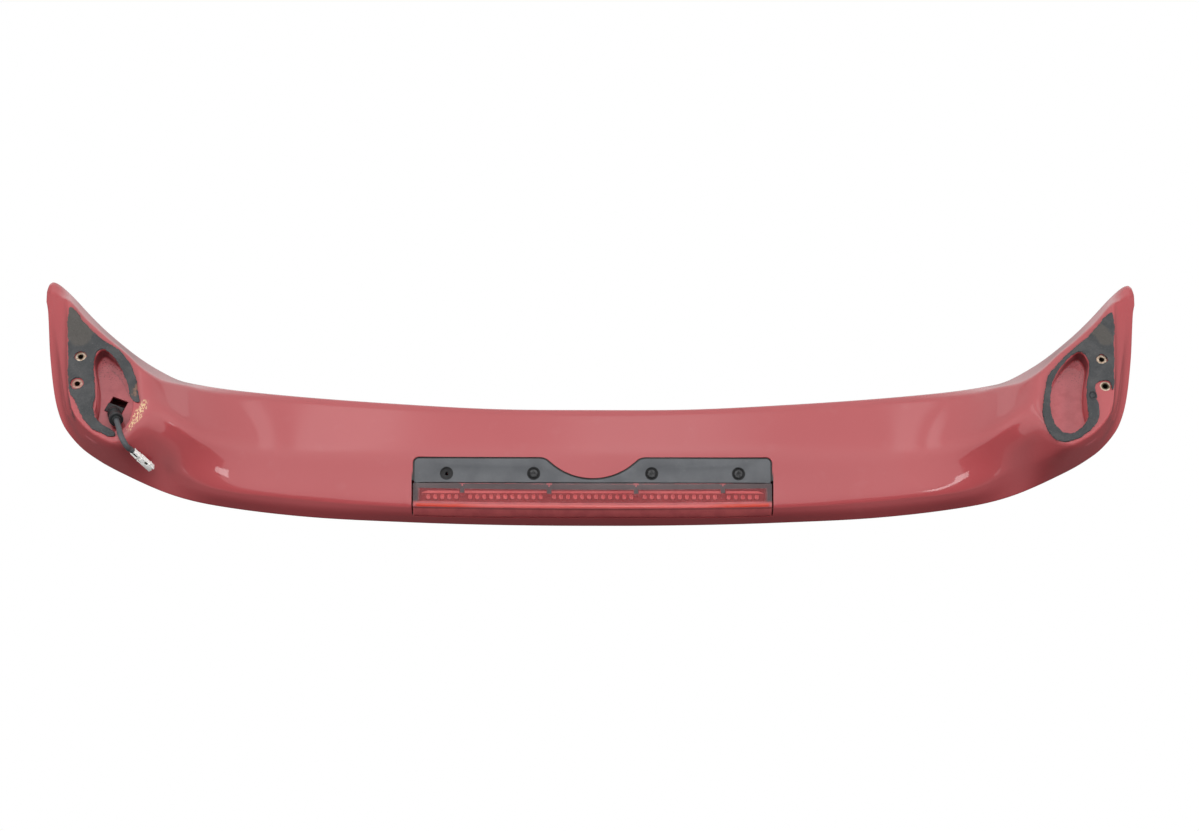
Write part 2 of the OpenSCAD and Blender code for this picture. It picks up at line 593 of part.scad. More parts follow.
// Grommet: a flanged rubber plug in the hole, leaning back to a stepped collar
collar_at = [insert_x - 47.6, -61.5, 4.5];
grommet_root = [insert_x - 41, -44.5, pocket_depth - 2.5];
grommet_way = unit(collar_at - grommet_root);
module aimed(at, way) {
  translate(at) rotate([0, acos(way[2]), atan2(way[1], way[0])]) children();
}
module cable_grommet() {
  color(rubber) difference() {
    union() {
      intersection() {
        cable_hole(-0.15, 9);
        translate([hole_at[0], hole_at[1], pocket_depth]) rotate([0, 0, hole_turn])
          translate([0, -hole_size[1] / 2 + 5.5, 0]) cube([40, 11, 40], center = true);
      }
      intersection() {
        aimed(grommet_root, grommet_way) {
          cylinder(d = 13, h = norm(collar_at - grommet_root) - 3, $fn = 40);
          translate([0, 0, 6]) cylinder(d = 15.5, h = 2.5, $fn = 40);
        }
        translate([hole_at[0], hole_at[1], pocket_depth / 2]) cube([80, 80, pocket_depth], center = true);
      }
      aimed(collar_at, grommet_way) {
        translate([0, 0, -4]) cylinder(d = 16, h = 6.5, $fn = 40);
        cylinder(d = cable_d + 3.2, h = 5, $fn = 40);
      }
    }
    aimed(collar_at, grommet_way) translate([0, 0, 1])
      cylinder(d = cable_d + 0.3, h = 10, $fn = 40);
    aimed(collar_at, grommet_way) translate([0, 0, 1.5]) difference() {
      cylinder(d = 13, h = 4, $fn = 40);
      translate([0, 0, -1]) cylinder(d = cable_d + 3.2, h = 6, $fn = 40);
    }
  }
}

// White two-way connector with a sprung latch at the cable's free end
plug_from = [insert_x - 68.1, -97.4, 15];
plug_way = unit([-17.4, -5.8, 30]);
// Free end of the cable: the points were chosen by hand along the foot's rear edge
cable_way = [
  collar_at + grommet_way, collar_at + 3.5 * grommet_way, collar_at + 6.2 * grommet_way,
  [insert_x - 53, -75.5, -3], [insert_x - 55.6, -84, -4.8], [insert_x - 58.4, -90.5, -4.6],
  [insert_x - 61.6, -96.2, -3.6], [insert_x - 64.4, -99.8, -0.8], [insert_x - 66.2, -100.2, 4.5],
  plug_from - 5 * plug_way, plug_from - 2.5 * plug_way, plug_from - 0.1 * plug_way
];
module cable_sheath() {
  color("#4a4d51") tube(curved(cable_way, 3), cable_d, 10);
}

plug_side = unit(cross(plug_way, [0, -0.95, -0.32]));
module plug_frame() {
  n = cross(plug_side, plug_way);
  multmatrix([[plug_side[0], n[0], plug_way[0], plug_from[0]],
    [plug_side[1], n[1], plug_way[1], plug_from[1]],
    [plug_side[2], n[2], plug_way[2], plug_from[2]], [0, 0, 0, 1]]) children();
}
contact_x = 1.75;
module connector_housing() {
  color(nylon) plug_frame() difference() {
    union() {
      translate([0, 0, plug_len / 2]) cube([plug_w, plug_h, plug_len], center = true);
      translate([-plug_w / 2, 0, plug_len - 13]) cube([2.4, plug_h * 0.6, 22], center = true);
      translate([-plug_w / 2 - 1.6, 0, plug_len - 8]) rotate([90, 0, 0])
        linear_extrude(plug_h * 0.6, center = true) polygon([[0, 0], [2, 0], [2, 5], [0.8, 5]]);
    }
    for (s = [-1, 1]) translate([s * contact_x, 0, -1]) {
      translate([0, 0, (plug_len + 4) / 2]) cube([2.3, 2.6, plug_len + 4], center = true);
    }
    translate([0, 0, 2]) cube([plug_w - 1.6, 2.6, 8], center = true);
    translate([0, plug_h / 2, plug_len * 0.62]) cube([plug_w * 0.5, 1.6, 5], center = true);
  }
}
module connector_contacts() {
  color("#c9c3a8") plug_frame() for (s = [-1, 1]) translate([s * contact_x, 0, plug_len / 2 + 3])
    cube([2.2, 2.4, plug_len - 12], center = true);
}

// Harness inside the shell, from the grommet to the lamp's plug
harness_d = 5;
function lamp_xyz(x, y, z) = let (p = lamp_point([y, z])) [x, p[0], p[1]];
nut_len = ledge_t + 5;
harness_z = -recess - nut_len - harness_d / 2 - 1;
clip_xs = [190, 140];
harness_row = tray_front - inner_plug[1] / 2;
harness_way = [
  [hole_at[0] + 3, hole_at[1] - 4, pocket_depth + 7.4],
  [hole_at[0] + 3, hole_at[1] - 4, pocket_depth + 11],
  [hole_at[0] + 1, hole_at[1] - 7, pocket_depth + 16],
  [hole_at[0] - 12, -52, pocket_depth + 21],
  [root_x + 115, -66, 49], [root_x + 75, -78, 60], [root_x + 25, -86, 73],
  [root_x * 0.9, -88, 78], [root_x * 0.75, -90, 80], lamp_xyz(clip_xs[0] + 50, harness_row, harness_z - 1),
  lamp_xyz(clip_xs[0], harness_row, harness_z), lamp_xyz(clip_xs[1], harness_row, harness_z),
  lamp_xyz(clip_xs[1] - 7, harness_row, harness_z),
  lamp_xyz(plug_at[0] + inner_plug[0] / 2 + 6, harness_row, plug_at[1] - 0.4),
  lamp_xyz(plug_at[0] + inner_plug[0] / 2 + 0.1, harness_row, plug_at[1])
];
module inner_harness() {
  color(rubber) tube(curved(harness_way, 2), harness_d, 8);
}
module harness_clip(x) {
  base_z = -recess - ledge_t;
  color(nylon) lamp_frame() translate([x, harness_row, 0]) difference() {
    translate([0, 0, (base_z + harness_z - harness_d / 2 - 1.2) / 2])
      cube([7, harness_d + 3.6, base_z - harness_z + harness_d / 2 + 1.2], center = true);
    translate([0, 0, harness_z]) rotate([0, 90, 0])
      cylinder(d = harness_d + 0.4, h = 20, center = true, $fn = 32);
  }
}
module harness_clip_outer() { harness_clip(clip_xs[0]); }
module harness_clip_inner() { harness_clip(clip_xs[1]); }

spoiler_shell();
gasket_left();
gasket_right();
insert_front_left();
insert_rear_left();
insert_front_right();
insert_rear_right();
lamp_housing();
lamp_lens();
lamp_seal();
lamp_board();
lamp_cells();
lamp_carrier();
lamp_screw_left_outer();
lamp_screw_left_inner();
lamp_screw_right_inner();
screw_nut_left_outer();
screw_nut_left_inner();
screw_nut_right_inner();
screw_nut_right_outer();
lamp_plug();
inner_harness();
harness_clip_outer();
harness_clip_inner();
cable_grommet();
cable_sheath();
connector_housing();
connector_contacts();
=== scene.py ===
# Looks of the boot-lid spoiler. Shapes are worked out in millimetres in the CAD frame.
import math

import bmesh
import bpy
import numpy as np
from mathutils import Matrix, Vector, noise
from mathutils.bvhtree import BVHTree


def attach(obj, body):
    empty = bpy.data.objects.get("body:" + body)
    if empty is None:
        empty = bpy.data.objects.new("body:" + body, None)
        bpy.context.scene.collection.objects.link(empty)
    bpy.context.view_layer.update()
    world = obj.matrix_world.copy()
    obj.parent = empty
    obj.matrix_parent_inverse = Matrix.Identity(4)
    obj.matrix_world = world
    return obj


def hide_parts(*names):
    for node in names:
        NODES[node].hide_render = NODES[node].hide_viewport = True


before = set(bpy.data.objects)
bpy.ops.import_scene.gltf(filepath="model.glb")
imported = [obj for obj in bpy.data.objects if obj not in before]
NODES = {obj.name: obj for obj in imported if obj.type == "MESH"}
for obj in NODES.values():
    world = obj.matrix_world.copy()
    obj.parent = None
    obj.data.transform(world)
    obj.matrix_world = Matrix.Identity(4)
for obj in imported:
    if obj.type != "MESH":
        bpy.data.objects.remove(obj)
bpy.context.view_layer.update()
scene = bpy.context.scene
MM = 0.001

# Main sizes, as in the part's source
HALF = 641.0
ROOT_X = 380.0
INSERT_X = 588.0
INSERT_YS = (18.0, -18.0)
NOSE_Y = -17.5
RIDGE_Y = NOSE_Y - 56.0
CREASE_Y = RIDGE_Y - 61.5
LIFT = 58.0
CREASE_Z = LIFT + 22.0
LIP_Y = CREASE_Y - 5.5
LIP_Z = CREASE_Z + 36.0
TIP_Y = 128.0
TIP_Z = 11.0
WALL = 3.2
POCKET_DEPTH = 19.0
CABLE_D = 6.4

# Bow of the rear face, which the part's source leaves flat, the share of its height that it
# bows at, how far back it may reach, and the rounding of the lip
REAR_BOW, BOW_AT, REARMOST, LIP_TRIM = 2.6, 0.38, -140.12, 2.4


def add_object(name, data):
    ob = bpy.data.objects.new(name, data)
    scene.collection.objects.link(ob)
    return ob


# Camera: 60 degrees below the horizon, looking at the underside
def aim_camera():
    azimuth, elevation, roll = math.radians(1.75), math.radians(60), math.radians(1.65)
    distance, focal_px, width_px, sensor = 2600.0, 2240.0, 1199.0, 36.0
    target = np.array([-8.0, -29.5, 50.0])
    back = np.array([math.sin(azimuth) * math.cos(elevation),
                     -math.cos(azimuth) * math.cos(elevation), -math.sin(elevation)])
    look = -back
    up = np.array([0.0, 0.0, -1.0])
    up = up - look * (up @ look)
    up /= np.linalg.norm(up)
    right = np.cross(look, up)
    cos_r, sin_r = math.cos(roll), math.sin(roll)
    right_r = right * cos_r + up * sin_r
    up_r = up * cos_r - right * sin_r
    data = bpy.data.cameras.new("camera")
    data.sensor_width = sensor
    data.lens = focal_px / width_px * sensor
    data.clip_start = 0.05
    data.clip_end = 60
    cam = add_object("camera", data)
    place = (target + back * distance) * MM
    cam.matrix_world = Matrix([[right_r[i], up_r[i], back[i], place[i]] for i in range(3)]
                              + [[0, 0, 0, 1]])
    scene.camera = cam


aim_camera()


# Mesh helpers
def mesh_object(name, points, faces):
    mesh = bpy.data.meshes.new(name)
    mesh.from_pydata([tuple(p) for p in np.asarray(points, float) * MM], [],
                     [tuple(int(i) for i in f) for f in faces])
    mesh.validate()
    return add_object(name, mesh)


def values_of(items, key):
    """One property of all items, three numbers to a row."""
    values = np.zeros(len(items) * 3)
    items.foreach_get(key, values)
    return values.reshape(-1, 3)


def move_points(ob, points):
    ob.data.vertices.foreach_set("co", points.ravel())
    ob.data.update()
    return ob


def applied(ob):
    """Bakes the modifiers into the mesh."""
    bpy.context.view_layer.update()
    graph = bpy.context.evaluated_depsgraph_get()
    mesh = bpy.data.meshes.new_from_object(ob.evaluated_get(graph))
    ob.modifiers.clear()
    ob.data = mesh
    return ob


def boolean(ob, cutters, operation="DIFFERENCE"):
    for cutter in cutters:
        mod = ob.modifiers.new("cut", "BOOLEAN")
        mod.solver = "MANIFOLD"
        mod.operation = operation
        mod.object = cutter
    applied(ob)
    for cutter in cutters:
        bpy.data.objects.remove(cutter)
    return ob


def joined(name, parts):
    """One closed mesh out of parts given as points and faces."""
    points, faces, start = [], [], 0
    for p, f in parts:
        points.append(p)
        faces += [tuple(i + start for i in face) for face in f]
        start += len(p)
    ob = mesh_object(name, np.concatenate(points), faces)
    mesh = bmesh.new()
    mesh.from_mesh(ob.data)
    bmesh.ops.recalc_face_normals(mesh, faces=mesh.faces)
    mesh.to_mesh(ob.data)
    mesh.free()
    return ob


def ring_part(rows):
    """Points and faces of a closed solid through equal rings of points."""
    rows = [np.asarray(r, float) for r in rows]
    n, last = len(rows[0]), len(rows) - 1
    faces = [(i * n + j, i * n + (j + 1) % n, (i + 1) * n + (j + 1) % n, (i + 1) * n + j)
             for i in range(last) for j in range(n)]
    faces += [tuple(range(n - 1, -1, -1)), tuple(last * n + j for j in range(n))]
    return np.concatenate(rows), faces


def loft(name, rows):
    return joined(name, [ring_part(rows)])


def smooth_angle(ob, degrees):
    mesh = ob.data
    mesh.polygons.foreach_set("use_smooth", [True] * len(mesh.polygons))
    mesh.set_sharp_from_angle(angle=math.radians(degrees))
    return ob


def rounded(ob, width, angle=38, smooth=35):
    """Bevels the edges sharper than an angle and smooths the faces."""
    mod = ob.modifiers.new("round", "BEVEL")
    mod.width = width * MM
    mod.segments = 2
    mod.limit_method = "ANGLE"
    mod.angle_limit = math.radians(angle)
    return smooth_angle(applied(ob), smooth)


def finish_piece(ob, look, replaced=()):
    ob.data.materials.clear()
    ob.data.materials.append(look)
    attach(ob, "root")
    if replaced:
        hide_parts(*replaced)
    return ob


# Outlines
def unit(v):
    """A vector, or each row of an array, at length 1."""
    v = np.asarray(v, float)
    return v / np.linalg.norm(v, axis=-1, keepdims=True)


def turned(v):
    """A flat vector, or each row of an array, turned clockwise by a quarter."""
    return np.stack([v[..., 1], -v[..., 0]], axis=-1)


def on_circle(angles):
    return np.column_stack([np.cos(angles), np.sin(angles)])


def read_line(at, places, points):
    """Points of a line between its own points, which lie at the given places."""
    return np.stack([np.interp(at, places, points[:, i]) for i in (0, 1)], axis=-1)


def bent(start, corner, end, steps):
    """Curve from start to end that heads for the corner."""
    t = np.linspace(0, 1, steps + 1)[:, None]
    return (1 - t) ** 2 * start + 2 * t * (1 - t) * corner + t ** 2 * end


def round_corner(a, p, b, trim, steps, ahead=None):
    u = p + unit(a - p) * min(trim, 0.42 * np.linalg.norm(a - p))
    v = p + unit(b - p) * min(ahead or trim, 0.42 * np.linalg.norm(b - p))
    return bent(u, p, v, steps)


def smoothed(points, share=0.46, steps=7):
    """Closed outline with every corner drawn as one wide curve."""
    p = np.array(points, float)
    before, after = np.roll(p, 1, axis=0), np.roll(p, -1, axis=0)
    return np.concatenate([bent(b + (a - b) * share, b, b + (c - b) * share, steps)
                           for a, b, c in zip(before, p, after)])


def even(points, step):
    """Closed outline resampled at equal steps."""
    p = np.vstack([points, points[:1]])
    s = np.concatenate([[0], np.cumsum(np.linalg.norm(np.diff(p, axis=0), axis=1))])
    n = max(8, int(round(s[-1] / step)))
    at = np.arange(n) * s[-1] / n
    return read_line(at, s, p)


def grown(points, d):
    """Smooth closed outline moved out along its normals."""
    p = np.asarray(points, float)
    area = np.sum(p[:, 0] * np.roll(p[:, 1], -1) - np.roll(p[:, 0], -1) * p[:, 1])
    way = unit(np.roll(p, -1, axis=0) - np.roll(p, 1, axis=0))
    return p + turned(way) * (d if area > 0 else -d)


def mitred(points, d, least):
    """Closed outline moved out with its sides kept parallel and its longest mitres held back."""
    n0 = turned(unit(points - np.roll(points, 1, axis=0)))
    n1 = turned(unit(np.roll(points, -1, axis=0) - points))
    return points + d * (n0 + n1) / np.maximum(least, 1 + np.sum(n0 * n1, axis=1))[:, None]


def at_height(outline, z, side=1):
    """Outline at a height; side -1 mirrors it to the left."""
    return np.column_stack([outline, np.full(len(outline), float(z))]) * [side, 1, 1]


def prism(outline, z0, z1, side=1):
    return loft("cutter", [at_height(outline, z, side) for z in (z0, z1)])


def circle(sides):
    return on_circle(np.arange(sides) * 2 * math.pi / sides)


def cylinder(x, y, radius, z0, z1, sides=64):
    return prism([x, y] + radius * circle(sides), z0, z1)


# Guide curves of the right half: [x, y, z]
def guide(y, z, on_blade, on_foot):
    """Points over the blade at shares of ROOT_X and steps from y, z, then points of the foot."""
    return ([(share * ROOT_X, y + dy, z + dz) for share, dy, dz in on_blade]
            + [(ROOT_X + out, foot_y, foot_z) for out, foot_y, foot_z in on_foot])


NOSE = guide(NOSE_Y, LIFT, [(0, 0, 0), (0.29, 0.5, -0.5), (0.59, 6.5, -1.5), (0.895, 14.2, -4.5)],
             [(8, 0, 50.5), (43, 2.5, 47.3), (77, 6, 42.8), (100, 9.6, 38.6), (123, 20, 34.3),
              (147, 34.2, 29.5), (172, 53.3, 24.6), (191, 69.5, 21), (210, 88, 17),
              (228, 107.3, 14), (242, 120.6, 12.3), (251, TIP_Y - 1, TIP_Z),
              (256, TIP_Y - 1.5, TIP_Z + 0.4), (259.5, TIP_Y - 6, TIP_Z + 1.8),
              (261, TIP_Y - 12, TIP_Z + 3.5)])
FRONT = guide(NOSE_Y, LIFT, [(0, -8.5, -2.5), (0.59, -2, -4), (0.895, 5.5, -7.5)],
              [(8, -9, 46.5), (43, -7, 41.5), (72, -6, 34.5), (86, -3.5, 29), (100, -5, 20.5),
               (115, -7, 10), (126, -3.5, 3), (137, 3.5, 0), (158, 24.7, 0), (177, 40.8, 0),
               (196, 58.5, 0), (210, 72, 0), (222, 87, 0), (231, 96, 0), (241, 102, 5),
               (250, 110, 8.5), (257, 114, 11), (261, 115.4, 14.6)])
RIDGE = guide(RIDGE_Y, LIFT, [(0, 0, 0), (0.52, 0, -0.6), (0.8, -1.5, -2.8), (0.92, -1.5, -4.5)],
              [(0, -74.3, 50.3), (21, -72, 45.3), (42, -71, 38.6), (60, -70.5, 29.5),
               (75, -69, 20), (92, -62, 11), (108, -52, 4.6), (122, -45, 1), (132, -42, 0),
               (160, -28, 0), (185, -8, 0), (210, 10, 0), (220, 32, 0), (227, 68, 0),
               (231, 95, 0.1), (241, 96, 6.8), (250, 104, 10.6), (257, 112, 12.4),
               (261, 115, 14.7)])
FACE = guide(CREASE_Y, LIFT, [(0, 31, 11), (0.8, 34, 8)],
             [(0, -98, 60.4), (40, -94.5, 51.8), (70, -89, 42), (90, -82, 32), (106, -75, 20),
              (118, -71.5, 8.5), (127, -72, 2.4), (134, -77.5, 0.3), (142, -86, 0),
              (150, -92.5, 0), (158, -94.5, 0), (166, -93, 0), (174, -88.5, 0), (186, -81.5, 0),
              (195, -73.5, 0), (205, -61.5, 0), (211, -52, 0), (217, -39, 0), (220, -13, 0),
              (223, 12, 0), (227, 52, 0), (231, 94, 0.1), (241, 86, 9.4), (250, 98, 13),
              (257, 109, 13.8), (261, 114.6, 14.8)])
CREASE = guide(CREASE_Y, CREASE_Z, [(0, 0, 0), (0.54, 2, -0.8), (0.825, 8, -4)],
               [(-5, -122.8, 70.3), (41, -120, 64.6), (64, -114.8, 61), (87, -105.8, 56),
                (108, -95.6, 51.6), (119, -92.3, 46.5), (129, -92.3, 38), (138, -94, 27),
                (146, -96, 16), (154, -97, 9), (164, -95, 8.5), (175, -90, 12), (190, -80.2, 21),
                (211, -61, 29), (220, -44, 22), (223, -37, 20), (227, -22, 20), (233, 5, 20),
                (241, 43, 20.5), (250, 73, 21.4), (257, 97, 18), (261, 113.5, 15)])
LIP = guide(LIP_Y, LIP_Z, [(0, 0, 0), (0.585, 2.5, -4.4), (0.89, 6, -11.3)],
            [(39, -127, 98.2), (73, -123, 93.4), (108, -114.5, 88.5), (154, -96.8, 78.8),
             (190, -79.8, 70), (211, -66, 63.7), (225, -51.7, 58.5), (233, -41, 54.7),
             (241, -21, 50.5), (246, -4, 47.5), (250, 20, 41.5), (254, 48, 35), (257, 80, 25),
             (259.5, 102, 18.5), (261, 112, 15.5)])
GRID = np.arange(0, HALF + 1.0)


def hermite(points, xs):
    """Smooth curve through points, read at xs, never below the mounting faces."""
    g = np.array(points, float)
    h = np.diff(g[:, 0])
    d = np.diff(g[:, 1:], axis=0) / h[:, None]
    s = np.zeros((len(g), 2))
    s[1:-1] = (d[:-1] * h[1:, None] + d[1:] * h[:-1, None]) / (h[:-1] + h[1:])[:, None]
    s[-1] = d[-1]
    i = np.clip(np.searchsorted(g[:, 0], xs, side="right") - 1, 0, len(g) - 2)
    t = ((xs - g[i, 0]) / h[i])[:, None]
    w = h[i][:, None]
    v = ((2 * t ** 3 - 3 * t ** 2 + 1) * g[i, 1:] + (t ** 3 - 2 * t ** 2 + t) * w * s[i]
         + (3 * t ** 2 - 2 * t ** 3) * g[i + 1, 1:] + (t ** 3 - t ** 2) * w * s[i + 1])
    v[:, 1] = np.maximum(v[:, 1], 0)
    return v


def ease(x, a, b):
    t = np.clip((x - a) / (b - a), 0, 1)
    return t * t * (3 - 2 * t)


def blurred(v, sigma):
    reach = int(4 * sigma)
    head = v[1:reach + 1][::-1]
    tail = 2 * v[-1] - v[-reach - 1:-1][::-1]
    ext = np.vstack([head, v, tail])
    k = np.exp(-0.5 * (np.arange(-reach, reach + 1) / sigma) ** 2)
    k /= k.sum()
    return np.stack([np.convolve(ext[:, c], k, mode="valid") for c in (0, 1)], axis=1)


def softened(points):
    raw = hermite(points, GRID)
    wide = 1 - ease(GRID, 425, 480)
    none = ease(GRID, 626, 636)
    mid = 1 - wide - none
    out = wide[:, None] * blurred(raw, 14) + mid[:, None] * blurred(raw, 4) + none[:, None] * raw
    out[:, 1] = np.maximum(out[:, 1], 0)
    return out


GUIDE = {name: softened(points) for name, points in
         (("nose", NOSE), ("front", FRONT), ("ridge", RIDGE), ("face", FACE),
          ("crease", CREASE), ("lip", LIP))}


def along(name, x):
    return read_line(x, GRID, GUIDE[name])


def table(x, pairs):
    return float(np.interp(x, [p[0] for p in pairs], [p[1] for p in pairs]))


def face_trim(x):
    return table(x - ROOT_X, [(60, 8), (110, 16), (130, 15), (145, 11), (156, 6), (170, 4)])


def crease_trim(x):
    return table(x - ROOT_X, [(40, 3), (90, 4), (112, 7), (130, 12), (200, 8)])


def roll_trim(x):
    """The underside rolls over well before the crease, outside the lamp."""
    return max(crease_trim(x), 20 * ease(x, 207, 216) * (1 - ease(x, 440, 470)))


def nose_parts(x):
    """Functions for the round nose, by degrees, and for the crowned top, by share of its way."""
    chord = along("nose", x)[0] - along("lip", x)[0]
    r = 6 * min(1, max(chord / 110, 0.04))
    mid = along("nose", x) + r * np.array([-0.866, 0.5])
    start = mid + r * np.array([0.4, 0.9])
    lip = along("lip", x)

    def top(share):
        bulge = 5 * min(1, chord / 120) * (1 if share < 0.5 else 0.4)
        return start + share * (lip - start) + np.array([0, bulge])

    def arc(angles):
        return [mid + r * np.array([math.cos(math.radians(g)), math.sin(math.radians(g))])
                for g in angles]

    return arc, top


def between(a, b, n):
    """Points strictly between a and b."""
    return a + (np.arange(1, n) / n)[:, None] * (b - a)


def rear_corners(x, roll):
    """The rounded crease, the bow of the rear face and the rounded lip."""
    e, c, lip = (along(k, x) for k in ("face", "crease", "lip"))
    high, way = np.linalg.norm(lip - c), unit(lip - c)
    ahead = crease_trim(x)
    up = max(BOW_AT * high, ahead + 1.5)
    bend = c + up * way - REAR_BOW * (1 - ease(x, 430, 500)) * turned(way)
    reach = max(0.2, min(0.9 * (up - ahead), 0.9 * (high - up - LIP_TRIM), 8.0))
    return [round_corner(e, c, bend, roll, 14, ahead), round_corner(c, bend, lip, reach, 6),
            round_corner(bend, lip, nose_parts(x)[1](0.75), LIP_TRIM, 6)]


def section(x):
    """Closed outline of the outer skin at x, with as many points at every x."""
    arc, top = nose_parts(x)
    nose = np.array(arc(np.linspace(68, -45, 14)))
    front, ridge, face, crease, lip = (along(k, x) for k in list(GUIDE)[1:])
    rear_top, nose_top = top(0.75), top(0.33)
    corners = [round_corner(nose[-1], front, ridge, 4, 5),
               round_corner(front, ridge, face, 14, 10),
               round_corner(ridge, face, crease, face_trim(x), 8),
               *rear_corners(x, roll_trim(x)),
               round_corner(lip, rear_top, nose_top, 25, 8),
               round_corner(rear_top, nose_top, nose[0], 25, 8)]
    parts = [nose]
    for corner, count in zip(corners, (2, 8, 4, 6, 3, 5, 6, 6)):
        parts += [between(parts[-1][-1], corner[0], count), corner]
    parts.append(between(corners[-1][-1], nose[0], 7))
    return np.maximum(np.concatenate(parts), [REARMOST, 0])


def inner_section(x):
    """Corners of the cavity; the wall grows thicker towards the tip."""
    arc, top = nose_parts(x)
    wall = WALL + 4 * min(1, max(0, (x - HALF + 95) / 50))
    corners = arc([68, -45]) + [along(k, x) for k in list(GUIDE)[1:]] + [top(0.75), top(0.33)]
    return mitred(np.array(corners), wall, 0.45)


def ring_at(x, points):
    return np.column_stack([np.full(len(points), float(x)), points])


def both_sides(xs):
    return [-x for x in xs[::-1] if x > 0] + list(xs)


# Lamp frame: X across, Y back along the rear underside from the ridge, Z out of it
TILT = math.atan2(22.0, 61.5)
PLATE_W, PLATE_FRONT, PLATE_REAR = 410.0, 8.0, 36.0
LENS_W, LENS_T, LENS_UP, LAMP_GAP = 413.0, 2.5, 15.5, 1.6
PLATE_T, SEAL_T, LEDGE_T = 4.0, 1.0, 4.0
RECESS = PLATE_T + SEAL_T
SCREW_ROW = PLATE_FRONT + 17.2
SCREW_XS = (-168.2, -68.0, 68.0, 168.2)


def from_lamp(points):
    p = np.asarray(points, float)
    return np.column_stack([p[:, 0],
                            RIDGE_Y - p[:, 1] * math.cos(TILT) - p[:, 2] * math.sin(TILT),
                            LIFT + p[:, 1] * math.sin(TILT) - p[:, 2] * math.cos(TILT)])


def lamp_point(y, z):
    return from_lamp([[0, y, z]])[0, 1:]


def moved_to_lamp(ob):
    """Takes a mesh made in the lamp frame to its place."""
    return move_points(ob, from_lamp(values_of(ob.data.vertices, "co") / MM) * MM)


NOTCH_DEPTH, NOTCH_HALF, NOTCH_RISE = 24.7, 48.0, 17.7
FLARE, PLATE_CORNER = 14.0, 5


def plate_outline(grow):
    """Flange plate: a wide round notch that flares into the front edge."""
    r = (NOTCH_HALF ** 2 + NOTCH_RISE ** 2) / (2 * NOTCH_RISE)
    floor_y = PLATE_FRONT + NOTCH_DEPTH
    a = math.asin(NOTCH_HALF / r)
    t = np.linspace(0, 1, 25) * a
    arc = np.column_stack([r * np.sin(t), floor_y - r * (1 - np.cos(t))])
    end = arc[-1]
    knee = end + np.array([math.cos(a), -math.sin(a)]) * (end[1] - PLATE_FRONT) / math.sin(a)
    flare = round_corner(end, knee, knee + [FLARE, 0], FLARE, 12)
    turn = np.radians(np.linspace(-90, 0, 9))
    centre = [PLATE_W / 2 - PLATE_CORNER, PLATE_FRONT + PLATE_CORNER]
    corner = centre + PLATE_CORNER * on_circle(turn)
    right = np.vstack([arc[:-1], flare, corner, [[PLATE_W / 2, PLATE_REAR]]])
    left = right[::-1] * [-1, 1]
    return mitred(np.vstack([right, left[:-1]]), grow, 0.5)


def opening_section(x):
    """Opening for the lens: under the ledge, round the crease and up the rear face."""
    c = along("crease", x)
    d = unit(along("lip", x) - c)
    inward = turned(d)
    front, clear, depth = PLATE_REAR - 3, 8, 9
    inner_rear, inner_z = 66, -25
    a = lamp_point(front, 0)
    out = lamp_point(front, 6) - a
    b = c + (LENS_UP + LAMP_GAP * 0.6) * d
    return np.array([a + out, c + out - inward * clear, b - inward * clear, b + inward * depth,
                     lamp_point(inner_rear, inner_z), lamp_point(front, inner_z)])


POCKET = [[-23, 31], [-15, 15], [-18, 0], [-23, -20], [-25, -44], [-23, -58], [-32, -71],
          [-45, -81.5], [-58, -78], [-65.5, -62], [-66, -40], [-60, -12], [-49, 6], [-37, 20]]
pocket_line = even(smoothed([[INSERT_X + x, y] for x, y in POCKET]), 1.6)


def pocket_cutter(side):
    """Blind pocket with a rounded rim and a rounded floor edge."""
    rim, floor = 1.3, 2.2
    rows = [at_height(grown(pocket_line, rim), -5, side)]
    for a in np.radians(np.linspace(90, 0, 6)):
        rows.append(at_height(grown(pocket_line, rim - rim * math.cos(a)),
                              rim - rim * math.sin(a), side))
    for a in np.radians(np.linspace(0, 90, 6)):
        rows.append(at_height(grown(pocket_line, floor * (math.cos(a) - 1)),
                              POCKET_DEPTH - floor + floor * math.sin(a), side))
    return loft("cutter", rows)


# Square hole in the pocket floor, where the cable comes out
HOLE_AT, HOLE_TURN = (INSERT_X - 43.3, -37.0), math.radians(22)
HOLE_HALF_X, HOLE_HALF_Y = 10, 10.5


def cable_hole():
    c, s = math.cos(HOLE_TURN), math.sin(HOLE_TURN)
    corners = np.array([(-1, -1), (1, -1), (1, 1), (-1, 1)]) * [HOLE_HALF_X, HOLE_HALF_Y]
    return prism(HOLE_AT + corners @ np.array([[c, s], [-s, c]]),
                 POCKET_DEPTH - 2, POCKET_DEPTH + 10)


def lamp_box(x0, x1, y0, y1, z0, z1):
    return moved_to_lamp(prism([[x0, y0], [x1, y0], [x1, y1], [x0, y1]], z0, z1))


STATIONS = both_sides(list(np.arange(0, 360, 6.0)) + list(np.arange(360, 480, 4.0))
                      + list(np.arange(480, 621, 2.0)) + list(np.arange(621, 641.5, 1.0)))


# Boss, flange and bore of an insert, and the square holes for the nuts of the lamp screws
BOSS_R, BOSS_DEPTH, FLANGE_R, FLANGE_T, BORE_R, BORE_DEPTH = 8.7, 19, 6.25, 1.2, 4.55, 15.5
NUT_HALF = 4.25


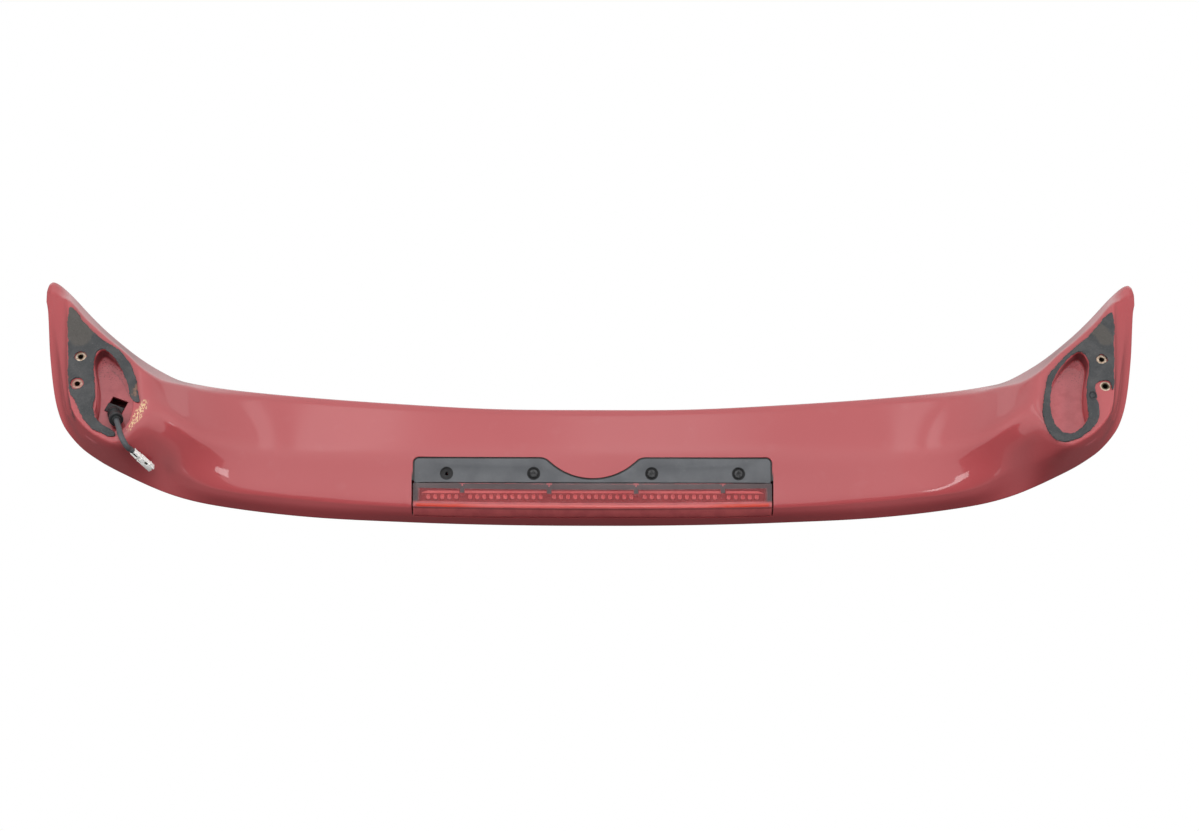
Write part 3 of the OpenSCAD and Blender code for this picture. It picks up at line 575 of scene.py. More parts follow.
def inner_cavity():
    """The hollow of the shell, less the pockets, the bosses and the floor of the lamp recess."""
    stops = list(np.arange(0, 380, 38.0)) + list(np.arange(380, 500, 12.0))
    stops += list(np.arange(500, 599.5, 6.0)) + [599.0]
    rows = []
    for x in both_sides(stops):
        a = abs(x)
        pull = 5 * min(1, max(0, (a - HALF + 105) / 60))
        rows.append(ring_at(math.copysign(a - pull, x), inner_section(a)))
    keep = []
    for side in (1, -1):
        keep.append(prism(grown(pocket_line, WALL), -5, POCKET_DEPTH + WALL, side))
        keep += [cylinder(side * INSERT_X, y, BOSS_R, -5, BOSS_DEPTH, 32) for y in INSERT_YS]
    keep.append(lamp_box(-PLATE_W / 2 - 6, PLATE_W / 2 + 6, PLATE_FRONT - 5, PLATE_REAR - 0.5,
                         -RECESS - LEDGE_T, 10))
    return boolean(loft("cavity", rows), keep)


# Cut points this near to the uncut surface, in metres, lie on it
ON_SKIN = 0.00003


def surface_normals(spots, points, quads, normals):
    """Smooth normal of a surface under each spot, zero where the spot is off it."""
    tris = np.array([[q[0], q[1], q[2]] for q in quads] + [[q[0], q[2], q[3]] for q in quads])
    tree = BVHTree.FromPolygons(points.tolist(), tris.tolist())
    found = np.zeros((len(spots), 3))
    for i, p in enumerate(spots):
        spot, _, index, _ = tree.find_nearest(Vector(p), ON_SKIN)
        if index is None:
            continue
        a, b, c = points[tris[index]]
        if np.linalg.norm(np.cross(b - a, c - a)) < 1e-12:
            continue
        sides = np.column_stack([b - a, c - a])
        v, w = np.linalg.lstsq(sides, np.array(spot) - a, rcond=None)[0]
        found[i] = unit(np.array([1 - v - w, v, w]) @ normals[tris[index]])
    return found


def keep_loft_normals(ob, points, quads, normals):
    """Smooth normals of the uncut surface on what the cuts left of it, with sharp borders."""
    smooth_angle(ob, 34)
    mesh = ob.data
    found = surface_normals(values_of(mesh.vertices, "co"), points, quads, normals)
    skin, sides = set(), {}
    for f in mesh.polygons:
        own = found[list(f.vertices)]
        if own.any(axis=1).all() and own.mean(axis=0) @ np.array(f.normal) > 0.86:
            skin.add(f.index)
        for key in f.edge_keys:
            sides.setdefault(key, set()).add(f.index in skin)
    for edge in mesh.edges:
        if len(sides.get(edge.key, ())) == 2:
            edge.use_edge_sharp = True
    mesh.update()
    corner = values_of(mesh.corner_normals, "vector")
    for index in skin:
        for loop in mesh.polygons[index].loop_indices:
            corner[loop] = found[mesh.loops[loop].vertex_index]
    mesh.normals_split_custom_set(corner.tolist())


def recess_cutter():
    """The lamp recess in the underside, its rim rounded."""
    rim, wide = 0.7, LAMP_GAP + 0.4
    rows = [at_height(plate_outline(wide), -RECESS)]
    for a in np.radians(np.linspace(0, 90, 4)):
        rows.append(at_height(plate_outline(wide + rim - rim * math.cos(a)),
                              -rim + rim * math.sin(a)))
    rows.append(at_height(plate_outline(wide + rim), 8))
    return moved_to_lamp(loft("cutter", rows))


def spoiler_shell():
    shell = loft("shell", [ring_at(x, section(min(abs(x), HALF))) for x in STATIONS])
    points = values_of(shell.data.vertices, "co")
    normals = values_of(shell.data.vertex_normals, "vector")
    quads = [tuple(f.vertices) for f in shell.data.polygons if len(f.vertices) == 4]
    cutters = [inner_cavity()]
    for side in (1, -1):
        cutters.append(pocket_cutter(side))
        for y in INSERT_YS:
            cutters += [cylinder(side * INSERT_X, y, FLANGE_R, -5, FLANGE_T),
                        cylinder(side * INSERT_X, y, BORE_R, -4, BORE_DEPTH)]
    cutters += [cable_hole(), recess_cutter()]
    cutters += [lamp_box(x - NUT_HALF, x + NUT_HALF, SCREW_ROW - NUT_HALF, SCREW_ROW + NUT_HALF,
                         -RECESS - 5, -RECESS + 5) for x in SCREW_XS]
    wide = LENS_W / 2 + LAMP_GAP
    cutters.append(loft("cutter", [ring_at(x, opening_section(abs(x)))
                                   for x in np.linspace(-wide, wide, 31)]))
    boolean(shell, cutters)
    keep_loft_normals(shell, points, quads, normals)
    return finish_piece(shell, LOOKS["paint"], ("spoiler_shell",))


# The connector's frame: from the cable's end along the plug, across it and out of its face
PLUG_FROM = np.array([INSERT_X - 68.1, -97.4, 15.0])
PLUG_WAY = unit([-17.4, -5.8, 30])
PLUG_SIDE = unit(np.cross(PLUG_WAY, [0, -0.95, -0.32]))
PLUG_UP = np.cross(PLUG_SIDE, PLUG_WAY)


# Materials
class Nodes:
    """Lays shader nodes by short calls."""

    def __init__(self, tree):
        self.tree = tree

    def node(self, kind, links=None, **props):
        made = self.tree.nodes.new(kind)
        for key, value in props.items():
            setattr(made, key, value)
        for key, value in (links or {}).items():
            self.feed(made.inputs[key], value)
        return made

    def feed(self, socket, value):
        if isinstance(value, bpy.types.NodeSocket):
            self.tree.links.new(value, socket)
        elif isinstance(value, tuple) and len(value) == 3 and socket.type == "RGBA":
            socket.default_value = (*value, 1)
        else:
            socket.default_value = value

    def step(self, value, low, high, out_low=0.0, out_high=1.0):
        return self.node("ShaderNodeMapRange",
                         {"Value": value, "From Min": low, "From Max": high,
                          "To Min": out_low, "To Max": out_high},
                         interpolation_type="SMOOTHSTEP").outputs["Result"]

    def window(self, value, a, b, c, d):
        """1 between b and c, fading to 0 at a and d."""
        return self.times(self.step(value, a, b), self.step(value, d, c))

    def band(self, value, low, high, soft):
        return self.window(value, low - soft, low + soft, high - soft, high + soft)

    def math(self, operation, *values):
        total = values[0]
        for value in values[1:]:
            total = self.node("ShaderNodeMath", {0: total, 1: value},
                              operation=operation).outputs[0]
        return total

    def times(self, *values):
        return self.math("MULTIPLY", *values)

    def plus(self, *values):
        return self.math("ADD", *values)

    def most(self, *values):
        return self.math("MAXIMUM", *values)

    def least(self, *values):
        return self.math("MINIMUM", *values)

    def size(self, value):
        return self.math("ABSOLUTE", value, 0.0)

    def vector(self, operation, a, b, result=0):
        return self.node("ShaderNodeVectorMath", {0: a, 1: b},
                         operation=operation).outputs[result]

    def blend(self, share, a, b):
        return self.node("ShaderNodeMix", {"Factor": share, "A": a, "B": b},
                         data_type="FLOAT").outputs["Result"]

    def mix(self, share, a, b):
        """Colour between a and b."""
        return self.node("ShaderNodeMix", {"Factor": share, 6: a, 7: b},
                         data_type="RGBA").outputs[2]


class Look(Nodes):
    """A Principled material; places and sizes are in millimetres."""

    def __init__(self, name, **fixed):
        self.mat = bpy.data.materials.new(name)
        self.mat.use_nodes = True
        super().__init__(self.mat.node_tree)
        self.shader = self.tree.nodes["Principled BSDF"]
        for key, value in fixed.items():
            self.shader.inputs[key.replace("_", " ")].default_value = value
        self.spot = self.node("ShaderNodeTexCoord").outputs["Object"]

    def noise(self, scale, detail=3, rough=0.55, stretch=None):
        at = self.vector("MULTIPLY", self.spot, stretch) if stretch else self.spot
        return self.node("ShaderNodeTexNoise",
                         {"Vector": at, "Scale": scale, "Detail": detail,
                          "Roughness": rough}).outputs["Fac"]

    def along(self, origin, way):
        """Millimetres from a point along a direction."""
        moved = self.vector("SUBTRACT", self.spot, [c * MM for c in origin])
        return self.times(self.vector("DOT_PRODUCT", moved, tuple(way), "Value"), 1 / MM)

    def in_lamp(self):
        """Across, back and out of the lamp plane, in millimetres."""
        root = (0, RIDGE_Y, LIFT)
        return (self.size(self.along(root, (1, 0, 0))),
                self.along(root, (0, -math.cos(TILT), math.sin(TILT))),
                self.along(root, (0, -math.sin(TILT), -math.cos(TILT))))

    def blot(self, centre, angle, half_x, half_y, half_z=4.0, wobble=None):
        """Distance from an oval spot, 1 at its edge; wobble gives its edge a noise and a reach."""
        at = self.spot
        if wobble:
            scale, reach = wobble
            shift = self.node("ShaderNodeTexNoise", {"Vector": at, "Scale": scale, "Detail": 3.0})
            push = self.vector("SUBTRACT", shift.outputs["Color"], (0.5, 0.5, 0.5))
            push = self.vector("MULTIPLY", push, (reach * MM * 2,) * 3)
            at = self.vector("ADD", at, push)
        oval = self.node("ShaderNodeMapping",
                         {"Vector": at, "Location": [c * MM for c in centre],
                          "Rotation": (0, 0, math.radians(angle)),
                          "Scale": (half_x * MM, half_y * MM, half_z * MM)},
                         vector_type="TEXTURE")
        return self.vector("LENGTH", oval.outputs[0], (0, 0, 0), "Value")

    def stroke(self, points, half, side, height=1.0, half_z=10.0):
        """Distance from a drawn line of points beside the insert, 1 at its edge."""
        spots = []
        for (x0, y0), (x1, y1) in zip(points[:-1], points[1:]):
            turn = math.degrees(math.atan2(y1 - y0, (x1 - x0) * side))
            centre = (side * (INSERT_X + (x0 + x1) / 2), (y0 + y1) / 2, height)
            spots.append(self.blot(centre, turn, math.dist((x0, y0), (x1, y1)) / 2 + 1.5, half,
                                   half_z, (120, 0.7)))
        return self.least(*spots)

    def mottled(self, scale, low, high, soft=0.15):
        """Starts the colour as a slow change between two."""
        share = self.step(self.noise(scale, 4), 0.5 - soft, 0.5 + soft)
        self.base = self.mix(share, low, high)

    def tint(self, share, color):
        """Lays a colour over the material's colour so far."""
        self.base = self.mix(share, self.base, color)

    def finished(self, rough, height, distance, strength):
        """Wires the colour so far, the roughness and the bump."""
        bump = self.node("ShaderNodeBump",
                         {"Height": height, "Strength": strength, "Distance": distance * MM})
        for key, value in (("Base Color", self.base), ("Roughness", rough),
                           ("Normal", bump.outputs[0])):
            self.feed(self.shader.inputs[key], value)
        return self.mat

    def moulded(self, rough, grain=1400.0, depth=0.05):
        """Uneven gloss and the fine grain of moulded plastic."""
        return self.finished(self.step(self.noise(90.0, 4), 0.3, 0.7, *rough),
                             self.noise(grain), depth, 0.6)

    def cast(self, rough):
        """Uneven gloss and the fine pitting of metal."""
        return self.finished(self.step(self.noise(500.0), 0.3, 0.7, *rough),
                             self.noise(700.0), 0.05, 0.5)

    def output(self, shader):
        self.feed(self.tree.nodes["Material Output"].inputs["Surface"], shader.outputs[0])
        return self.mat


# Lines of painted shade beside each insert: in the grooves round the feet and at a step in the
# pocket floor
GROOVE_RIGHT = ((8.6, -34), (4.4, -49.6), (-1.2, -63), (-9.1, -74.4), (-20.4, -87.7))
GROOVE_LEFT = ((17.4, 9), (12.4, -32), (4.7, -54), (-8, -74), (-20, -89))
FLOOR_STEP = ((-33, 11), (-44.9, -0.5), (-51.2, -12.2), (-56.5, -24))
SCRAPES = ((-77, -48, 5.0), (-72, -60, 5.5), (-67.5, -71, 3.5))
POCKET_X, POCKET_Y = (INSERT_X - 69, INSERT_X - 12), (-85, 34)
# Distance of the crease from the ridge in the lamp frame, and the way out of the rear face there
CREASE_BACK, REAR_OUT = 65.3, (0.88, 0.475)


def out_of_rear(k, back, out):
    """Millimetres outside the rear face."""
    return k.plus(k.times(k.plus(back, -CREASE_BACK), REAR_OUT[0]), k.times(out, REAR_OUT[1]))


def scraped(k):
    """Bare places beside the cable."""
    spots = [k.blot((INSERT_X + x, y, 2), -68, 10, half, 14, (200, 3.0))
             for x, y, half in SCRAPES]
    speck = k.step(k.noise(420.0, 4, stretch=(1.6, 0.7, 0.7)), 0.46, 0.58)
    return k.times(k.step(k.least(*spots), 1.15, 0.7), speck)


def pocket_shares(k, across):
    """Dusty floor, also lightened as painted light, painted shade on the front wall, and scuffs of
    a pocket, kept off the foot's outside.
    """
    ahead, tall = k.along((0, 0, 0), (0, 1, 0)), k.along((0, 0, 0), (0, 0, 1))
    slanted = k.plus(across, k.times(ahead, -0.667))
    inside = k.times(k.band(across, *POCKET_X, 1), k.band(ahead, *POCKET_Y, 1),
                     k.step(slanted, INSERT_X - 57, INSERT_X - 53))
    floor = k.times(inside, k.window(tall, 16.6, 18.4, 20.5, 21.5),
                    k.step(k.noise(75.0, 4), 0.25, 0.6, 0.35, 1.0))
    wall = k.times(inside, k.step(ahead, -22, 4), k.window(tall, 1.6, 4.0, 15.0, 18.0))
    scuff = k.times(floor, k.step(k.noise(520.0, 4), 0.55, 0.64),
                    k.step(ahead, -14, 14, 0.1, 0.75))
    return floor, wall, scuff


def recess_shade(k, across, back, out):
    """Unlit paint of the lamp recess and its opening, from the ridge to the rear face."""
    rear = k.most(k.step(back, 62.5, 61.5), k.step(out_of_rear(k, back, out), -2.8, -3.4))
    below = k.plus(out, k.step(back, 5.0, 14.0, 0.5, 0.0))
    return k.times(k.step(below, -0.2, -0.6), k.step(across, 208.6, 208.3),
                   k.step(back, 5.2, 5.8), rear, k.step(out, -17, -15))


def paint_look():
    """Glossy red paint, its dust and wear, with painted shade in grooves, pockets and the lamp
    recess and painted light on the pocket floors.
    """
    k = Look("spoiler_paint", Coat_Weight=1.0, Coat_Roughness=0.04, Coat_IOR=1.5)
    across, back, out = k.in_lamp()
    k.base = k.mix(k.step(k.noise(6.0, 2), 0.3, 0.7), (0.392, 0.052, 0.060),
                   (0.412, 0.059, 0.067))
    dust = k.times(k.step(k.noise(38.0, 4), 0.56, 0.80), 0.05)
    k.tint(dust, (0.52, 0.26, 0.25))
    bare = scraped(k)
    k.tint(bare, k.mix(k.noise(260.0), (0.62, 0.36, 0.13), (0.86, 0.66, 0.42)))
    # Painted shade along the grooves round the feet
    groove_shade = k.least(k.stroke(GROOVE_RIGHT, 1.3, 1), k.stroke(GROOVE_LEFT, 1.2, -1))
    k.tint(k.step(groove_shade, 1.5, 0.6, 0.0, 0.8), (0.10, 0.022, 0.025))
    # Painted shade along a step in the pocket floor
    floor_step_shade = k.stroke(FLOOR_STEP, 0.7, 1, POCKET_DEPTH, 3.0)
    k.tint(k.step(floor_step_shade, 1.4, 0.6, 0.0, 0.75), (0.09, 0.015, 0.018))
    floor, wall, scuff = pocket_shares(k, across)
    # Painted shade on the pocket's front wall
    k.tint(k.times(wall, 0.85), (0.075, 0.012, 0.014))
    # Dusty pocket floor, lightened as painted light as well
    k.tint(k.times(floor, 0.62), (0.62, 0.165, 0.185))
    k.tint(scuff, (0.13, 0.03, 0.035))
    # Painted shade in the lamp recess and its opening
    k.tint(recess_shade(k, across, back, out), (0.012, 0.010, 0.011))
    worn = k.times(k.most(bare, dust, floor), 0.35)
    return k.finished(k.plus(k.step(k.noise(900.0, 2), 0.3, 0.7, 0.36, 0.46), worn),
                      k.plus(k.times(k.noise(260.0, 2), 0.25), k.times(bare, -1.0)), 0.06, 0.5)


# Centre of the curl of torn foam, beside the left foot's rear insert
CURL_AT = (-INSERT_X + 16.5, -31.5)


def foam_look():
    """Grey foam, browned, torn and rubbed in places, with painted shade round the torn curl."""
    k = Look("foam", Specular_IOR_Level=0.25)
    cloud = k.noise(45.0, 5, 0.6)
    k.base = k.mix(k.step(cloud, 0.40, 0.66), (0.064, 0.067, 0.070), (0.094, 0.095, 0.097))
    brown = k.step(k.noise(26.0, 4), 0.56, 0.70)
    k.tint(k.times(brown, 0.3), (0.13, 0.105, 0.085))
    edge = k.times(k.step(k.blot((INSERT_X - 69, -20, 0), -78, 30, 4.0, 9, (140, 3.0)), 1.3, 0.6),
                   k.step(k.noise(160.0, 4), 0.42, 0.58))
    k.tint(k.times(edge, 0.8), (0.30, 0.17, 0.12))
    worn = k.step(k.blot((-INSERT_X - 3.5, 52, 0), 62, 19, 11, 9, (70, 5.0)), 1.1, 0.8)
    layer = k.step(k.blot((INSERT_X + 9, 66, 0), 75, 34, 22, 9, (70, 5.0)), 1.1, 0.95)
    k.tint(k.times(k.most(worn, layer), 0.55), (0.125, 0.112, 0.098))
    # Painted shade in a ring round and on the torn curl
    curl = k.window(k.blot((*CURL_AT, 0), 0, 3.9, 4.8, 9), 0.66, 0.8, 1.0, 1.2)
    k.tint(k.times(curl, 0.75), (0.02, 0.02, 0.022))
    dust = k.step(k.noise(700.0, 2), 0.62, 0.75)
    k.tint(k.times(dust, 0.25), (0.30, 0.27, 0.25))
    pores = k.node("ShaderNodeTexVoronoi", {"Vector": k.spot, "Scale": 1500.0})
    height = k.plus(k.times(pores.outputs["Distance"], 0.5), k.noise(260.0, 4))
    return k.finished(k.step(cloud, 0.3, 0.7, 0.72, 0.95), height, 0.35, 0.8)


def plastic_look(name, low, high, rough=(0.42, 0.6), grain=1400.0, depth=0.05):
    k = Look(name)
    k.mottled(30.0, low, high)
    return k.moulded(rough, grain, depth)


def metal_look(name, low, high, rough=(0.28, 0.5)):
    k = Look(name, Metallic=1.0)
    k.mottled(240.0, low, high, 0.12)
    return k.cast(rough)


def insert_look():
    """Brass flanges, one with paint on it and one with a wider hole; a ring round each bore, each
    bore and the wider hole are painted shade.
    """
    k = Look("insert_brass", Metallic=0.8)
    k.mottled(240.0, (0.40, 0.28, 0.19), (0.70, 0.57, 0.46), 0.12)
    away = [k.blot((side * INSERT_X, y, 0), 0, 1, 1, 1000)
            for side in (1, -1) for y in INSERT_YS]
    painted, broken, axis = away[1], away[3], k.least(*away)
    # Painted shade in a ring round each bore
    rim = k.times(k.window(axis, 3.0, 3.3, 3.9, 4.5), k.step(k.noise(300.0, 2), 0.35, 0.6))
    k.tint(k.times(rim, 0.8), (0.09, 0.065, 0.05))
    k.tint(k.times(k.step(painted, 7.0, 6.5), 0.55), (0.42, 0.17, 0.15))
    # Painted shade for the wider hole of this insert
    k.tint(k.times(k.step(broken, 4.9, 4.3), 0.9), (0.07, 0.06, 0.035))
    # Painted shade down each bore
    k.tint(k.step(axis, 3.15, 2.95), (0.03, 0.025, 0.02))
    return k.cast((0.35, 0.6))


def plug_look():
    """White nylon with painted shade inside its slots."""
    k = Look("plug_nylon")
    k.mottled(260.0, (0.90, 0.88, 0.85), (0.97, 0.96, 0.94))
    # Painted shade inside the slots and the open end
    inside = k.times(k.step(k.along(PLUG_FROM, PLUG_UP), 2.85, 2.55),
                     k.step(k.size(k.along(PLUG_FROM, PLUG_SIDE)), 2.7, 2.4),
                     k.step(k.along(PLUG_FROM, PLUG_WAY), 34.7, 34.3))
    k.tint(inside, (0.012, 0.012, 0.013))
    return k.moulded((0.35, 0.55), 400.0, 0.15)


def plate_look():
    """Grey moulding with painted shade in its screw recesses and on its sides."""
    k = Look("plate_plastic", Specular_IOR_Level=0.4)
    k.mottled(30.0, (0.096, 0.100, 0.108), (0.117, 0.122, 0.131))
    k.tint(k.step(k.noise(220.0), 0.60, 0.75, 0.0, 0.3), (0.16, 0.16, 0.165))
    # Painted shade in the screw counterbores
    well_shade = [k.blot(from_lamp([[x, SCREW_ROW, -1.6]])[0], 0, 7.7, 7.7, 7.7) for x in SCREW_XS]
    k.tint(k.step(k.least(*well_shade), 1.03, 0.97), (0.020, 0.021, 0.022))
    _, back, out = k.in_lamp()
    # Painted shade on the plate's sides
    flank_shade = k.times(k.step(out, -0.3, -0.7), k.step(back, PLATE_REAR - 0.8, PLATE_REAR - 1.4))
    k.tint(flank_shade, (0.014, 0.014, 0.015))
    return k.moulded((0.40, 0.58))


# Bands of the lens, back from the ridge: grey strip, painted highlight along the crease, painted
# shade under it
STRIP_REAR, POST_REAR = 44.2, 49
CREASE_HIGHLIGHT, SHADE_BEHIND_HIGHLIGHT = (61.3, 62.2, 64.8, 65.8), (65.4, 66.1, 66.7, 68.0)
# The strip has a post in every gap between lamp groups, and the lens bows back at its ends
POST_AT, POST_STEP, LENS_BOW = 100, 50, 2.1


def lens_strip(k, across, post, run):
    """Grey strip in front of the lamps, its posts and the closed ends."""
    return k.most(k.step(run, STRIP_REAR + 0.4, STRIP_REAR - 0.4),
                  k.times(k.step(post, 2.9, 2.3), k.step(run, POST_REAR + 0.5, POST_REAR - 0.5)),
                  k.times(k.step(across, 197, 202), k.step(run, 62, 58)))


def lens_marks(k, post, run, ragged):
    """Red tees at the posts and a fine broken line along the strip."""
    return k.most(k.times(k.step(post, 3.6, 2.6), k.step(ragged, 39.0, 38.4)),
                  k.times(k.step(post, 1.2, 0.7), k.step(run, 41.2, 40.4)),
                  k.times(k.window(ragged, 37.0, 37.4, 37.7, 38.1),
                          k.step(k.noise(40.0), 0.42, 0.56, 0.15, 0.8)))


def lens_look():
    """Red skin over clear plastic: nearly closed at the strip and the painted highlight on the
    crease, open at the lamps.
    """
    k = Look("lens_red", Coat_Weight=0.6, Coat_Roughness=0.08)
    across, back, out = k.in_lamp()
    share = k.times(across, 1 / 205)
    run = k.plus(back, k.times(share, share, LENS_BOW))
    ragged = k.plus(run, k.times(k.plus(k.noise(150.0, stretch=(1, 0.3, 0.3)), -0.5), 1.6))
    post = k.size(k.plus(k.size(k.plus(across, -POST_AT)), -POST_STEP))
    haze = k.step(k.noise(60.0, 4), 0.35, 0.65)
    k.base = k.mix(haze, (0.43, 0.070, 0.078), (0.52, 0.090, 0.095))
    strip = lens_strip(k, across, post, run)
    k.tint(strip, k.mix(haze, (0.044, 0.018, 0.022), (0.058, 0.028, 0.032)))
    marks = lens_marks(k, post, run, ragged)
    k.tint(k.times(marks, 0.75), (0.42, 0.07, 0.08))
    # Painted highlight along the lens crease
    bead = k.times(k.window(ragged, *CREASE_HIGHLIGHT), k.step(across, 204.5, 201))
    glow = k.mix(k.step(across, 120, 165), (0.66, 0.110, 0.105), (0.62, 0.052, 0.030))
    k.tint(bead, glow)
    # Painted shade just behind the highlight
    k.tint(k.times(k.window(run, *SHADE_BEHIND_HIGHLIGHT), 0.7), (0.10, 0.010, 0.010))
    k.finished(k.step(k.noise(400.0), 0.3, 0.7, 0.12, 0.24), k.noise(300.0, 2), 0.02, 0.4)
    solid = k.most(strip, k.step(run, 58.5, 60.0))
    skin = k.most(k.step(out, -1.7, -1.0), k.step(out_of_rear(k, run, out), -1.6, -0.9))
    cover = k.times(skin, k.step(solid, 0, 1, 0.34, 0.93))
    clear = k.node("ShaderNodeBsdfTransparent",
                   {"Color": k.mix(skin, (0.98, 0.98, 0.98), (0.97, 0.58, 0.58))})
    return k.output(k.node("ShaderNodeMixShader", {0: cover, 1: clear.outputs[0],
                                                   2: k.shader.outputs[0]}))


LOOKS = {
    "paint": paint_look(),
    "foam": foam_look(),
    "plate": plate_look(),
    "rubber": plastic_look("rubber", (0.022, 0.024, 0.025), (0.04, 0.042, 0.044), (0.45, 0.7)),
    "cable": plastic_look("cable_jacket", (0.05, 0.054, 0.058), (0.085, 0.09, 0.098), (0.4, 0.6)),
    "nylon": plastic_look("white_nylon", (0.84, 0.81, 0.76), (0.95, 0.93, 0.89), (0.35, 0.55),
                          400.0, 0.2),
    "plug": plug_look(),
    "black": plastic_look("black_plastic", (0.02, 0.02, 0.022), (0.035, 0.035, 0.037)),
    "carrier": plastic_look("carrier_red", (0.26, 0.085, 0.095), (0.34, 0.115, 0.125),
                            (0.5, 0.7)),
    "board": plastic_look("board_green", (0.01, 0.05, 0.02), (0.02, 0.08, 0.03)),
    "cell": plastic_look("cell_red", (0.95, 0.50, 0.50), (1.0, 0.66, 0.65), (0.2, 0.4)),
    "steel": metal_look("screw_steel", (0.06, 0.06, 0.062), (0.11, 0.11, 0.112), (0.35, 0.55)),
    "brass": insert_look(),
    "contact": metal_look("contact_metal", (0.55, 0.50, 0.38), (0.70, 0.66, 0.52)),
    "lens": lens_look(),
}


# Supply cable: the route of the part's source
def catmull(points, steps):
    p = np.asarray(points, float)
    out = []
    for i in range(len(p) - 1):
        a, b, c, d = p[max(i - 1, 0)], p[i], p[i + 1], p[min(i + 2, len(p) - 1)]
        for s in range(steps):
            t = s / steps
            out.append(0.5 * (2 * b + (c - a) * t + (2 * a - 5 * b + 4 * c - d) * t ** 2
                              + (3 * b - a - 3 * c + d) * t ** 3))
    out.append(p[-1])
    return np.array(out)


def tube_rows(path, radii, sides):
    path = np.asarray(path, float)
    tangent = unit(np.gradient(path, axis=0))
    u = np.cross(tangent[0], [0.3, 0.2, 1.0])
    rows = []
    for p, way, radius in zip(path, tangent, radii):
        u = unit(u - way * (u @ way))
        rows.append(p + radius * circle(sides) @ np.array([u, np.cross(way, u)]))
    return rows


COLLAR_AT = np.array([INSERT_X - 47.6, -61.5, 4.5])
GROMMET_ROOT = np.array([INSERT_X - 41, -44.5, POCKET_DEPTH - 2.5])
GROMMET_WAY = unit(COLLAR_AT - GROMMET_ROOT)
CABLE_WAY = [COLLAR_AT + GROMMET_WAY, COLLAR_AT + 3.5 * GROMMET_WAY,
             COLLAR_AT + 6.2 * GROMMET_WAY, [INSERT_X - 53, -75.5, -3],
             [INSERT_X - 55.6, -84, -4.8], [INSERT_X - 58.4, -90.5, -4.6],
             [INSERT_X - 61.6, -96.2, -3.6], [INSERT_X - 64.4, -99.8, -0.8],
             [INSERT_X - 66.2, -100.2, 4.5], PLUG_FROM - 5 * PLUG_WAY,
             PLUG_FROM - 2.5 * PLUG_WAY, PLUG_FROM - 0.1 * PLUG_WAY]


def supply_cable():
    route = catmull(CABLE_WAY, 3)
    fine = catmull(CABLE_WAY, 12)
    cable = loft("supply_cable", tube_rows(fine, [CABLE_D / 2 - 0.03] * len(fine), 24))
    smooth_angle(cable, 50)
    finish_piece(cable, LOOKS["cable"], ("cable_sheath",))
    length = float(np.sum(np.linalg.norm(np.diff(route, axis=0), axis=1))) * MM
    return cable, route, length


def dressed(node, look, width):
    """A copy of a CAD node with its edges rounded."""
    mesh = bpy.data.meshes.new(node + "_piece")
    work = bmesh.new()
    work.from_mesh(NODES[node].data)
    bmesh.ops.remove_doubles(work, verts=work.verts, dist=0.00002)
    bmesh.ops.dissolve_limit(work, angle_limit=math.radians(1.0), verts=work.verts,
                             edges=work.edges)
    work.to_mesh(mesh)
    work.free()
    return finish_piece(rounded(add_object(node + "_piece", mesh), width), look, (node,))


def lens_line(x):
    """Underside, crease and lower rear face in one section, as far as the lens goes."""
    turn, bow, top = rear_corners(x, crease_trim(x))
    rise = np.vstack([turn[-1:], bow, top[:1]])
    far = np.linalg.norm(rise - along("crease", x), axis=1)
    at = np.linspace(far[0], LENS_UP, 7)[1:]
    return np.vstack([[lamp_point(PLATE_REAR + 0.3, 0)], turn, read_line(at, far, rise)])


def lamp_lens():
    rows = []
    for x in np.linspace(-LENS_W / 2, LENS_W / 2, 95):
        outer = lens_line(abs(x))
        inner = outer + LENS_T * turned(unit(np.gradient(outer, axis=0)))
        rows.append(ring_at(x, np.vstack([outer, inner[::-1]])))
    lens = rounded(loft("lamp_lens_piece", rows), 0.5, 50, 40)
    return finish_piece(lens, LOOKS["lens"], ("lamp_lens",))


# Lamps: middle and count of each group, and the light bars from x to x over the groups
CELL_GROUPS = ((-173, 5), (-100.5, 11), (0, 12), (100.5, 11), (173, 5))
CELL_PITCH, CELL_ROW = 8.1, PLATE_FRONT + 43.7
BARS, END_BARS, BAR_TIP = ((-48, 48), (53.0, 148), (-148, -53.0)), (153.5, 190), 197.0
# Front, rear, draw-in and height of a bar, the same of its tip, and the foot of both
BAR_SIDES, TIP_SIDES, BAR_FOOT = (44.4, 47.6, 0.2, -4.2), (46.6, 47.6, 0.2, -4.4), -6.8
# Half sizes, offset and heights of a cup, from its rim in to its floor, and radii of its bead
CUP = ((2.3, 2.8, 0, -7.0), (2.3, 2.8, 0, -4.6), (2.0, 2.5, 0, -4.3), (1.3, 1.6, 1, -4.7),
       (1.1, 1.4, 1, -6.6))
LAMP_BEAD = ((1.0, -5.2), (1.15, -4.4), (0.8, -3.9), (0.2, -3.7))


def oval(cx, cy, half_x, half_y, z, sides=20):
    """Ring between an oval and a rectangle, in the lamp frame."""
    around = circle(sides)
    blunt = np.sign(around) * np.abs(around) ** 0.6
    return at_height([cx, cy] + blunt * [half_x, half_y], z)


def bar_end(x, y0, y1, slant, z):
    """Four corners of a light bar at x, narrower at its top."""
    return [[x, y0, BAR_FOOT], [x, y1, BAR_FOOT], [x, y1 - slant, z], [x, y0 + slant, z]]


